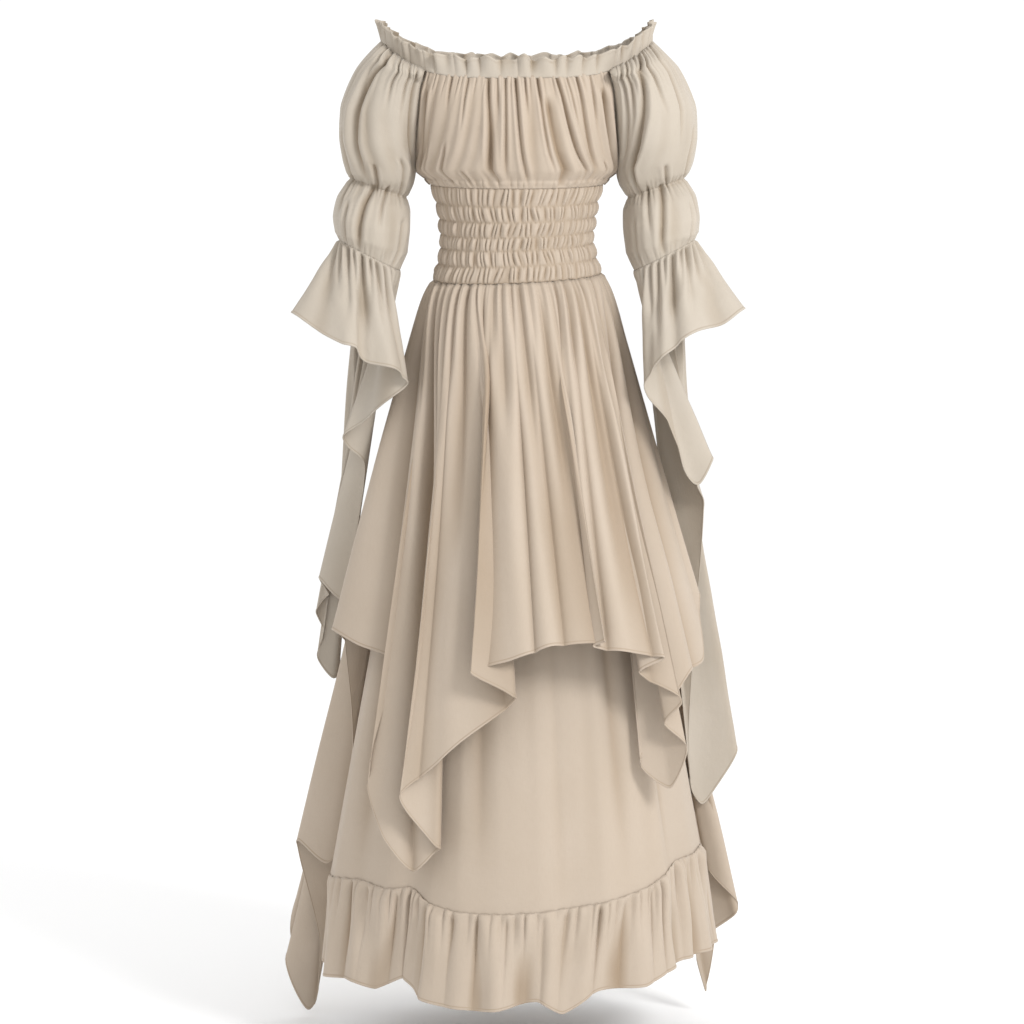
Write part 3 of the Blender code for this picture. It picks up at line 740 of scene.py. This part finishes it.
def cloth_material(name, light, deep, thread):
    """Plain woven cotton with a faint sheen and a painted warm shade: its colour goes towards deep
    where the shade attribute marks folds, valleys and hem stitching.
    """
    material = bpy.data.materials.new(name)
    material.use_nodes = True
    tree = material.node_tree
    shader = tree.nodes["Principled BSDF"]
    shader.inputs["Roughness"].default_value = 0.68
    shader.inputs["Specular IOR Level"].default_value = 0.3
    shader.inputs["Sheen Weight"].default_value = 0.18
    shader.inputs["Sheen Roughness"].default_value = 0.4
    shader.inputs["Sheen Tint"].default_value = (1.0, 0.96, 0.9, 1.0)

    place = add_node(tree, "UVMap", uv_map="cloth").outputs["UV"]
    shade = add_node(tree, "Attribute", attribute_name="shade").outputs["Fac"]
    slow = add_node(tree, "TexNoise", {"Vector": place, "Scale": 8.0, "Detail": 3.0})
    stretched = add_node(tree, "Mapping", {"Vector": place, "Scale": (900.0, 80.0, 1.0)})
    slubs = add_node(
        tree, "TexNoise", {"Vector": stretched.outputs["Vector"], "Scale": 1.0, "Detail": 2.0}
    )
    # Painted shade: the colour goes towards deep as far as the shade attribute says
    folds = mixed(tree, shade, (*light, 1.0), (*deep, 1.0))
    ramp = add_node(tree, "ValToRGB", {"Fac": slow.outputs["Fac"]})
    ramp.color_ramp.elements[0].position = 0.3
    ramp.color_ramp.elements[0].color = (0.95, 0.94, 0.92, 1.0)
    ramp.color_ramp.elements[1].position = 0.7
    mottled = mixed(tree, 1.0, folds, ramp.outputs["Color"], "MULTIPLY")
    share = {"Value": slubs.outputs["Fac"], "From Min": 0.45, "From Max": 0.75, "To Max": 0.18}
    slub_share = add_node(tree, "MapRange", share).outputs["Result"]
    colour = mixed(tree, slub_share, mottled, (*thread, 1.0))
    tree.links.new(colour, shader.inputs["Base Color"])

    yarns = {"Vector": place, "Scale": 620.0, "Distortion": 0.6}
    warp, weft = (
        add_node(tree, "TexWave", yarns, bands_direction=way).outputs["Fac"] for way in ("X", "Y")
    )
    weave = add_node(tree, "Math", {0: warp, 1: weft}, operation="MAXIMUM")
    crinkle = add_node(
        tree, "TexNoise", {"Vector": place, "Scale": 90.0, "Detail": 5.0, "Roughness": 0.5}
    )
    soft = {"Strength": 0.32, "Distance": 0.0014, "Height": crinkle.outputs["Fac"]}
    fine = {"Strength": 0.3, "Distance": 0.00012, "Height": weave.outputs["Value"]}
    crinkled = add_node(tree, "Bump", soft).outputs["Normal"]
    woven = add_node(tree, "Bump", {**fine, "Normal": crinkled}).outputs["Normal"]
    tree.links.new(woven, shader.inputs["Normal"])
    return material


def floor_material():
    material = bpy.data.materials.new("pale_floor")
    material.use_nodes = True
    tree = material.node_tree
    shader = tree.nodes["Principled BSDF"]
    shader.inputs["Roughness"].default_value = 0.9
    shader.inputs["Specular IOR Level"].default_value = 0.1
    grain = add_node(tree, "TexNoise", {"Scale": 4.0})
    ramp = add_node(tree, "ValToRGB", {"Fac": grain.outputs["Fac"]})
    ramp.color_ramp.elements[0].color = (0.95, 0.95, 0.95, 1.0)
    ramp.color_ramp.elements[1].color = (0.965, 0.965, 0.965, 1.0)
    tree.links.new(ramp.outputs["Color"], shader.inputs["Base Color"])
    return material


# Seams that several pieces share


def shirring_points(row, angle, lift=0.0):
    """Points on a shirring row, lifted outwards; angle and lift may be arrays."""
    height, side, front, back, lean = row
    turn = np.radians(angle)
    depth = np.where(np.cos(turn) > 0.0, front, back)
    x = (side + lift) * np.sin(turn)
    y = -(depth + lift) * np.cos(turn)
    z = height + SHIRRING_LIFT * (1.0 - np.cos(turn)) + lean * np.sin(turn)
    return np.stack([x, y, z], axis=-1)


def neck_points(angle, spread=0.0, rise=0.0):
    turn = np.radians(angle)
    x = (NECK_SIDE + spread) * np.sin(turn)
    y = -(NECK_DEPTH + spread) * np.cos(turn)
    middle = np.where(np.cos(turn) > 0.0, NECK_FRONT_Z, NECK_BACK_Z)
    z = middle + (NECK_SIDE_Z - middle) * np.sin(turn) ** 4 + rise
    return np.stack([x, y, z], axis=-1)


def flounce_points(side, angle):
    across, depth, height, half_width, half_depth = FLOUNCE_RING
    turn = np.radians(angle)
    x = across + half_width * np.cos(turn)
    y = depth - half_depth * np.sin(turn)
    z = height + FLOUNCE_TILT * np.cos(turn)
    return np.stack([side * x, y, z], axis=-1)


def side_roll(along):
    """Height that drops at both side edges, as cloth rolls into a seam."""
    return -SIDE_ROLL_DEPTH * bell(np.minimum(along, 1.0 - along), SIDE_ROLL_REACH)


# Pieces


def make_neck_ruffle(material):
    """The frill that stands above the neckline elastic, taller over the arms."""
    columns, levels, fine_count, broad_count, seed = 800, 13, 50, 33, 11
    seam_swing, fine_swing, broad_swing, arm_swing = 0.7, 4.7, 5.0, 1.5
    arm_height, scallop_height, wave_height = 3.0, 6.0, 2.5
    stand_off, flare, lap = 0.9, 5.0, 3.6
    along = np.arange(columns) / columns
    rise = np.linspace(1.0, 0.0, levels)[:, None]
    over_arm = np.abs(np.sin(2.0 * math.pi * along)) ** 3
    frill = 2.0 * gathers(along, fine_count, seed, closed=True) - 1.0
    broad = waves(along, broad_count, seed + 1, closed=True)
    scallop = gathers(along, broad_count, seed + 1, closed=True) - 0.5
    swing = (seam_swing + fine_swing * rise) * frill
    swing = swing + (broad_swing + arm_swing * over_arm) * rise**1.3 * broad
    lean = stand_off + (flare - flare * over_arm) * rise**1.5
    tall = NECK_RUFFLE_HEIGHT + arm_height * over_arm
    tall = tall + scallop_height * scallop + wave_height * broad
    height = tall * rise - lap * (1.0 - rise) + seam_swing * frill
    sheet = neck_points(360.0 * along, swing + lean, height)
    # Painted shade where the frill swings inwards
    shade = valley_shade(swing, reach=6.0)
    return add_shell("neck_frill", sheet, material, shade, closed=True, hem="top")


def bodice_rows(facing, levels, columns):
    """A bodice panel between its side edges, which lap into their seams, most half way down."""
    least_lap, more_lap = 0.8, 1.4
    table = finer(BODICE, levels)
    part = np.linspace(-1.0, 1.0, columns)[None]
    width, edge_depth, edge_z = (table[:, axis][:, None] for axis in range(3))
    first = 3 if facing < 0.0 else 5
    height, depth = table[:, first][:, None], table[:, first + 1][:, None]
    limit = np.arccos(np.clip(edge_depth / depth, 0.0, 1.0))
    turn = limit * part
    level = np.linspace(0.0, 1.0, levels)[:, None]
    lap = least_lap + more_lap * np.sqrt(np.sin(math.pi * level))
    x = (width + lap) * np.sin(turn) / np.sin(limit)
    y = facing * depth * np.cos(turn)
    z = height + (edge_z - height) * part**2
    return np.stack([x, y, z], axis=-1)


def make_bodice(name, material, facing, creases, columns, seed):
    """A bodice panel, gathered at the neckline and again where it meets the shirring."""
    levels, seam_levels, overhang, wave, slack = 44, 6, 0.02, 2.4, 0.9
    sheet = bodice_rows(facing, levels, columns)
    top = sheet[0]
    angle = np.degrees(np.arctan2(top[:, 0] / NECK_SIDE, -top[:, 1] / NECK_DEPTH))
    shift = neck_points(angle)[:, 2] - top[:, 2]
    sheet[..., 2] += shift * fading(np.linspace(0.0, 1.0, levels), 0.0, 0.4)[:, None]
    part = np.linspace(-1.0, 1.0, columns)
    angle = 90.0 * part if facing < 0.0 else 180.0 - 90.0 * part
    seam = shirring_points(SHIRRING[0], angle, LAP) - np.array([0.0, 0.0, 1.0])
    share = (np.arange(1, seam_levels + 1) / seam_levels)[:, None, None]
    fall = between(sheet[-1][None], seam[None], share)
    fall[..., :2] *= 1.0 + overhang * np.sin(math.pi * share) * (1.0 - share)
    sheet = np.concatenate([sheet, fall])

    level = np.linspace(0.0, 1.0, len(sheet))[:, None]
    along = np.linspace(0.0, 1.0, columns)[None]
    at_neck, at_waist = fading(level, 0.02, 0.26), 1.0 - fading(level, 0.76, 0.95)
    height = -creased(level, along, creases)
    height += puckers(along, seed, count=30, tall=3.6, base=0.6) * at_neck
    height += puckers(along, seed + 3, count=32, tall=3.4, base=0.6) * at_waist
    height += wave * waves(along, 13, seed + 5) * np.sin(math.pi * level)
    height += uneven(sheet, seed + 7, size=60.0, height=slack) * np.sin(math.pi * level)
    height *= np.clip(level / 0.03, 0.3, 1.0) * np.clip((1.0 - level) / 0.04, 0.2, 1.0)
    height = height * off_the_sides(along, 0.02) + side_roll(along)
    # Painted shade in the valleys of its gathers and creases
    return add_shell(name, raised(sheet, height), material, valley_shade(height, reach=7.0), hem="none")


def make_shirring(name, material, start, columns, steps, seed):
    """Half of the shirred waist: slanting puffs between seven puckered rows of elastic."""
    gap, puff_tall, crinkle_tall, sink = 0.22, 6.4, 1.6, 1.6
    tuck_tall, tuck_drop, inset = 1.4, 1.8, 0.5
    along = np.linspace(0.0, 1.0, columns)
    angle = start + gap + (180.0 - 2.0 * gap) * along
    tucks = [gathers(along, SHIRRING_PUFFS * 1.4, seed + 60 + row) for row in range(len(SHIRRING))]
    rows = []
    heights = []
    for band, (upper, lower) in enumerate(zip(SHIRRING[:-1], SHIRRING[1:])):
        slant = SHIRRING_SLANTS[band] / SHIRRING_PUFFS
        sway = 0.5 / SHIRRING_PUFFS * waves(along, 8, seed + 40 + band)
        last = 1 if band == len(SHIRRING) - 2 else 0
        for share in np.arange(steps + last) / steps:
            swell = math.sin(math.pi * share) ** 0.6 if 0.0 < share < 1.0 else 0.0
            place = along + (slant + sway) * (share - 0.5)
            puff = gathers(place, SHIRRING_PUFFS, seed + 5 * band)
            crinkle = gathers(place, SHIRRING_PUFFS * 2.2, seed + 5 * band + 2)
            tuck = tucks[band] if share < 0.5 else tucks[band + 1]
            height = swell * (puff_tall * puff + crinkle_tall * crinkle * puff - sink)
            height = height + (1.0 - swell) * tuck_tall * tuck
            row = between(np.array(upper), np.array(lower), share)
            points = shirring_points(row, angle, height - inset)
            # The uppermost row keeps its height, because the bodice is sewn to it
            points[:, 2] += (1.0 - swell) * tuck_drop * (tuck - 0.5) * (0.0 < share + band)
            rows.append(points)
            heights.append(height)
    # Painted shade between the puffs, from a little below their crests
    shade = valley_shade(np.array(heights) - 2.6, reach=3.6)
    return add_shell(name, np.array(rows), material, shade, hem="none")


def sleeve_rows(side, levels, columns):
    """The sleeve from the neck to near its lower elastic, from its front armhole edge."""
    clearance, corner_clearance, neck_levels = 1.3, 1.5, 8.0
    table = finer(SLEEVE, levels)
    section = np.linspace(0.0, len(SLEEVE) - 1.0, levels)[:, None]
    part = np.linspace(0.0, 1.0, columns)[None]
    inner, edge_depth, inner_z, outer, outer_z, half_depth, shift = table.T[..., None]
    # At the neck the edges are past the oval's deepest line, and further down before it
    start = np.arcsin(np.clip(edge_depth / half_depth, 0.0, 1.0))
    start = between(start, math.pi - start, np.clip(1.0 - section / 0.55, 0.0, 1.0))
    # Along the armhole the edges keep clear of the bodice's
    inner = inner + clearance * np.clip(4.6 - section, 0.0, 1.0)
    turn = start + (2.0 * math.pi - 2.0 * start) * part
    x = outer - (outer - inner) * (1.0 + np.cos(turn)) / (1.0 + np.cos(start))
    reach = (x - inner) / (outer - inner)
    y = -half_depth * np.sin(turn) - shift * np.clip(4.0 * reach, 0.0, 1.0)
    z = inner_z + (outer_z - inner_z) * reach
    sheet = np.stack([side * x, y, z], axis=-1)
    corner = math.degrees(math.asin((SLEEVE[0][0] + corner_clearance) / NECK_SIDE))
    neck = neck_points(side * between(corner, 180.0 - corner, part[0]))
    near_neck = np.clip(1.0 - np.arange(levels) / neck_levels, 0.0, 1.0) ** 1.5
    return sheet + (neck - sheet[0])[None] * near_neck[:, None, None]


def make_sleeve(name, material, side, creases, seed):
    """A sleeve in two puffs, with an elastic in its middle and another at its end."""
    levels, end_levels, columns, end_share = 66, 8, 220, 0.1
    elastic, dent, upper_wave, lower_wave, slack = 0.6, 2.6, 3.0, 2.2, 1.0
    ring_start, ring_turn = 179.3, 358.6
    sheet = sleeve_rows(side, levels, columns)
    along = np.linspace(0.0, 1.0, columns)[None]
    ring = flounce_points(side, ring_start - ring_turn * along[0])
    share = (np.arange(1, end_levels + 1) / end_levels)[:, None, None]
    sheet = np.concatenate([sheet, between(sheet[-1][None], ring[None], share)])
    start_of_end = 1.0 - end_share
    level = start_of_end * np.linspace(0.0, 1.0, levels)
    level = np.concatenate([level, start_of_end + end_share * share.ravel()])[:, None]

    upper = np.sin(math.pi * np.clip(level / elastic, 0.0, 1.0))
    lower = np.sin(math.pi * np.clip((level - elastic) / (1.0 - elastic), 0.0, 1.0))
    at_neck, at_end = fading(level, 0.02, 0.20), 1.0 - fading(level, 0.87, 0.99)
    height = -creased(level, along, creases)
    height += puckers(along, seed, count=30, tall=3.6, base=0.55) * at_neck
    height += puckers(along, seed + 2, count=36, tall=3.6, base=0.6) * bell(level - elastic, 0.07)
    height += puckers(along, seed + 4, count=36, tall=3.2, base=0.6) * at_end
    height -= dent * bell(level - elastic, 0.013)
    height += upper_wave * waves(along, 6, seed + 6) * upper
    height += lower_wave * waves(along, 6, seed + 8) * lower
    height += uneven(sheet, seed + 9, size=60.0, height=slack) * np.maximum(upper, lower)
    height *= np.clip(level / 0.02, 0.3, 1.0) * np.clip((1.0 - level) / 0.03, 0.3, 1.0)
    height = height * off_the_sides(along, 0.02) + side_roll(along)
    sheet = raised(sheet, height * side)
    # Painted shade in the valleys of its gathers and creases
    return add_shell(name, sheet, material, valley_shade(height, reach=7.0), hem="none")


def make_flounce(name, material, side, table, seed):
    """A handkerchief flounce hung from the lower elastic of a sleeve."""
    columns, levels, wave, slack, seam_lift = 400, 38, 6.5, 1.0, 0.8
    rows = table + ((table[0][0] + 360.0,) + table[0][1:],)
    path = softened(spaced(path_through(rows), columns + 1, per_degree=2.5), reach=1.0)[:-1]
    angle, hem = path[:, 0], path[:, 1:]
    top = flounce_points(side, angle) + np.array([0.0, 0.0, seam_lift])
    sheet, level = hung(top, hem, levels)
    along = (angle / 360.0)[None]
    down = distance_down(sheet)
    height = puckers(along, seed, count=34, tall=3.4, base=0.4, closed=True) * bell(down, 30.0)
    height *= np.clip(0.1 + down / 6.0, 0.0, 1.0)
    height -= creased(level, angle[None], FLOUNCE_CREASES, around=360.0, widening=2.0)
    height += wave * waves(along, 10, seed + 4, closed=True) * easing(level * 2.0)
    height += uneven(sheet, seed + 6, size=80.0, height=slack) * easing(down / 40.0)
    height = height * easing(down / 5.0) + LAP
    sheet = raised(sheet, height * -side, closed=True)
    # Painted shade in the valleys of its folds
    return add_shell(name, sheet, material, valley_shade(height, reach=12.0), closed=True)


def skirt_sheet(table, columns, levels, per_degree, inset):
    """A skirt piece hung inside the lower edge of the shirring, with its levels, its waist
    angles, the share along the waist at each, and the way out from the axis.
    """
    path = softened(spaced(path_through(table), columns, per_degree), reach=1.0)
    first, last = table[0][0], table[-1][0]
    angle = np.clip(path[:, 0], first, last)
    top = shirring_points(SHIRRING[-1], angle, -inset) + np.array([0.0, 0.0, 1.0])
    sheet, level = hung(top, path[:, 1:4], levels)
    outward = sheet[..., :2] / np.linalg.norm(sheet[..., :2], axis=2, keepdims=True)
    return sheet, level, angle[None], ((angle - first) / (last - first))[None], outward


def make_overskirt(name, material, table, creases, columns, levels, seed):
    """The upper skirt: gathered at the waist, swelling below it, and fluted to its hem."""
    swell_depth, wave, flute_tall, flutes_per_crease, slack = 12.0, 3.0, 17.0, 0.62, 1.0
    sheet, level, angle, along, outward = skirt_sheet(table, columns, levels, 5.0, inset=LAP)
    down = distance_down(sheet)
    swell = swell_depth * (1.0 - np.exp(-down / 22.0)) * (1.0 - level) ** 1.3
    sheet[..., :2] += outward * swell[..., None]
    height = puckers(along, seed, count=38, tall=3.6, base=0.4) * bell(down, 34.0)
    height += wave * waves(along, 15, seed + 2) * bell(down, 150.0)
    shallow = between(0.45, 1.0, easing(down / 160.0))
    height -= creased(level, angle, creases, widening=3.4) * shallow
    flutes = puckers(along, seed + 4, len(creases) * flutes_per_crease, flute_tall, base=0.6)
    height += flutes * easing(down / 260.0)
    height += uneven(sheet, seed + 6, size=110.0, height=slack) * easing(down / 60.0)
    height *= off_the_sides(along, 0.015) * easing(down / 9.0 + 0.25)
    # Painted shade in the valleys of its flutes and creases
    return add_shell(name, raised(sheet, height), material, valley_shade(height, reach=18.0))


def make_underskirt(name, material, table, creases, columns, levels, seed):
    """The long plain skirt, down to its seam with the hem ruffle."""
    inset, wave, slack = 5.0, 2.6, 0.8
    rows = [row[:4] for row in table]
    sheet, level, angle, along, _ = skirt_sheet(rows, columns, levels, 4.0, inset)
    middle = np.sin(math.pi * np.clip(level, 0.0, 1.0)) ** 0.8
    height = wave * waves(along, 5, seed) * middle - creased(level, angle, creases)
    height += uneven(sheet, seed + 6, size=120.0, height=slack) * middle
    height *= off_the_sides(along, 0.03)
    # Painted shade in the valleys of its folds
    return add_shell(name, raised(sheet, height), material, valley_shade(height, reach=9.0), hem="none")


def make_hem_ruffle(name, material, table, columns, levels, seed):
    """The gathered strip sewn over the foot of the underskirt."""
    count, wave, slack, seam_lift = 48, 7.0, 0.8, 2.2
    rows = [row[1:] for row in table]
    path = softened(spaced(path_through(rows), columns), reach=1.4)
    top = path[:, :3] + np.array([0.0, 0.0, seam_lift])
    sheet, _ = hung(top, path[:, 3:], levels)
    along = np.linspace(0.0, 1.0, columns)[None]
    down = distance_down(sheet)
    height = puckers(along, seed, count, tall=8.0, base=0.35) * bell(down, 42.0)
    broad = puckers(along, seed + 2, count * 0.4, tall=16.0, base=0.5)
    height += broad * bell(down, 110.0) * easing(down / 16.0)
    height += wave * waves(along, count * 0.22, seed + 4) * easing(down / 110.0)
    height += uneven(sheet, seed + 6, size=50.0, height=slack) * easing(down / 20.0)
    height = height * off_the_sides(along, 0.02) * easing(down / 7.0 + 0.25) + LAP
    # The seam itself goes up and down with the gathers
    sheet[..., 2] += puckers(along, seed + 8, count * 1.3, tall=1.6, base=0.5) * bell(down, 6.0)
    # Painted shade in the valleys of its gathers
    return add_shell(name, raised(sheet, height), material, valley_shade(height, reach=7.0))


def on_the_other_side(creases):
    """The same kind of creases a little aside, for the second of a pair."""
    aside, drift, depth = 0.02, -0.8, 0.9
    return [
        (row[0] + aside, -row[1], drift * row[2], *row[3:6], depth * row[6]) for row in creases
    ]


# The gown

# Each cloth's deep colour is its painted shade for folds and valleys
cream = cloth_material(
    "cream_weave",
    light=(0.437, 0.364, 0.292),
    deep=(0.30, 0.225, 0.155),
    thread=(0.38, 0.30, 0.235),
)
pale = cloth_material(
    "pale_weave",
    light=(0.432, 0.383, 0.322),
    deep=(0.31, 0.25, 0.185),
    thread=(0.37, 0.32, 0.26),
)

neck_frill = make_neck_ruffle(pale)
bodice_front = make_bodice(
    "bodice_front_cloth", cream, FRONT, BODICE_FRONT_CREASES, columns=300, seed=21
)
bodice_back = make_bodice(
    "bodice_back_cloth", cream, BACK, BODICE_BACK_CREASES, columns=240, seed=31
)
shirring_front = make_shirring(
    "shirring_front_cloth", cream, start=-90.0, columns=420, steps=8, seed=41
)
shirring_back = make_shirring(
    "shirring_back_cloth", cream, start=90.0, columns=340, steps=7, seed=171
)
sleeve_left = make_sleeve("sleeve_left_cloth", pale, LEFT, SLEEVE_CREASES, seed=81)
sleeve_right = make_sleeve(
    "sleeve_right_cloth", pale, RIGHT, on_the_other_side(SLEEVE_CREASES), seed=101
)
flounce_left = make_flounce("flounce_left_cloth", pale, LEFT, FLOUNCE_LEFT, seed=121)
flounce_right = make_flounce("flounce_right_cloth", pale, RIGHT, FLOUNCE_RIGHT, seed=141)
overskirt_front = make_overskirt(
    "overskirt_front_cloth", cream, OVERSKIRT_FRONT, OVERSKIRT_FRONT_CREASES, 620, 40, seed=161
)
overskirt_back = make_overskirt(
    "overskirt_back_cloth", cream, OVERSKIRT_BACK, OVERSKIRT_BACK_CREASES, 480, 36, seed=181
)
underskirt_front = make_underskirt(
    "underskirt_front_cloth", cream, FOOT_FRONT, UNDERSKIRT_FRONT_CREASES, 200, 40, seed=201
)
underskirt_back = make_underskirt(
    "underskirt_back_cloth", cream, FOOT_BACK, UNDERSKIRT_BACK_CREASES, 160, 34, seed=221
)
hem_ruffle_front = make_hem_ruffle(
    "hem_ruffle_front_cloth", cream, FOOT_FRONT, columns=520, levels=22, seed=241
)
hem_ruffle_back = make_hem_ruffle(
    "hem_ruffle_back_cloth", cream, FOOT_BACK, columns=400, levels=20, seed=261
)

# Piece, the node that it replaces, its slot, width and length of its flat cut in metres,
# the cut's area in square metres where it isn't a rectangle, and how it is held
SEWN = (
    (neck_frill, "neck_ruffle", "pale_cloth", (1.46, 0.028), None, "gathered"),
    (bodice_front, "bodice_front", "cream_cloth", (0.45, 0.20), None, "gathered"),
    (bodice_back, "bodice_back", "cream_cloth", (0.42, 0.21), None, "gathered"),
    (shirring_front, "waist_shirring_front", "cream_cloth", (0.48, 0.15), None, "gathered"),
    (shirring_back, "waist_shirring_back", "cream_cloth", (0.48, 0.15), None, "gathered"),
    (sleeve_left, "sleeve_left", "pale_cloth", (0.42, 0.37), None, "gathered"),
    (sleeve_right, "sleeve_right", "pale_cloth", (0.42, 0.37), None, "gathered"),
    (flounce_left, "sleeve_flounce_left", "pale_cloth", (0.42, 0.75), 0.155, "hung"),
    (flounce_right, "sleeve_flounce_right", "pale_cloth", (0.43, 0.93), 0.19, "hung"),
    (overskirt_front, "overskirt_front", "cream_cloth", (1.30, 0.83), 0.62, "hung"),
    (overskirt_back, "overskirt_back", "cream_cloth", (1.75, 1.12), 0.76, "hung"),
    (underskirt_front, "underskirt_front", "cream_cloth", (0.80, 0.89), 0.50, "hung"),
    (underskirt_back, "underskirt_back", "cream_cloth", (0.80, 0.89), 0.52, "hung"),
    (hem_ruffle_front, "hem_ruffle_front", "cream_cloth", (1.00, 0.15), None, "gathered"),
    (hem_ruffle_back, "hem_ruffle_back", "cream_cloth", (1.00, 0.15), None, "gathered"),
)
for piece, node, slot, cut, area, held in SEWN:
    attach(piece, "root")
    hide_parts(node)


# Floor, light and camera


def add_floor():
    left, right, near, far, level = -14.0, 14.0, -9.0, 22.0, -1.152
    corners = [(left, near, level), (right, near, level), (right, far, level), (left, far, level)]
    mesh = bpy.data.meshes.new("floor")
    mesh.from_pydata(corners, [], [(0, 1, 2, 3)])
    mesh.materials.append(floor_material())
    floor = bpy.data.objects.new("floor", mesh)
    bpy.context.scene.collection.objects.link(floor)


def aimed(name, data, place, target):
    """An object at a place, turned to look at a target."""
    holder = bpy.data.objects.new(name, data)
    holder.location = place
    holder.rotation_euler = (Vector(target) - Vector(place)).to_track_quat("-Z", "Y").to_euler()
    bpy.context.scene.collection.objects.link(holder)
    return holder


def add_softbox(name, place, target, size, power):
    lamp = bpy.data.lights.new(name, "AREA")
    lamp.size = size
    lamp.energy = power
    aimed(name, lamp, place, target)


def add_camera():
    """The photo's view: level with the chest and looking slightly down on the skirt."""
    picture_width, sensor_width, metres_per_pixel = 1024.0, 36.0, 0.00143
    place = Vector((-0.007, -4.8, 0.136))
    target = Vector((-0.007, 0.0, -0.382))
    data = bpy.data.cameras.new("camera")
    data.sensor_width = sensor_width
    data.lens = sensor_width * (target - place).length / metres_per_pixel / picture_width
    bpy.context.scene.camera = aimed("camera", data, place, target)


def add_world(strength):
    world = bpy.data.worlds.new("studio")
    world.use_nodes = True
    background = world.node_tree.nodes["Background"]
    background.inputs["Color"].default_value = (1.0, 1.0, 1.0, 1.0)
    background.inputs["Strength"].default_value = strength
    bpy.context.scene.world = world
    bpy.context.scene.view_settings.view_transform = "Standard"


add_floor()
add_softbox("key", place=(2.3, -2.7, 1.7), target=(0.0, 0.0, -0.35), size=1.1, power=105.0)
add_world(strength=1.06)
add_camera()
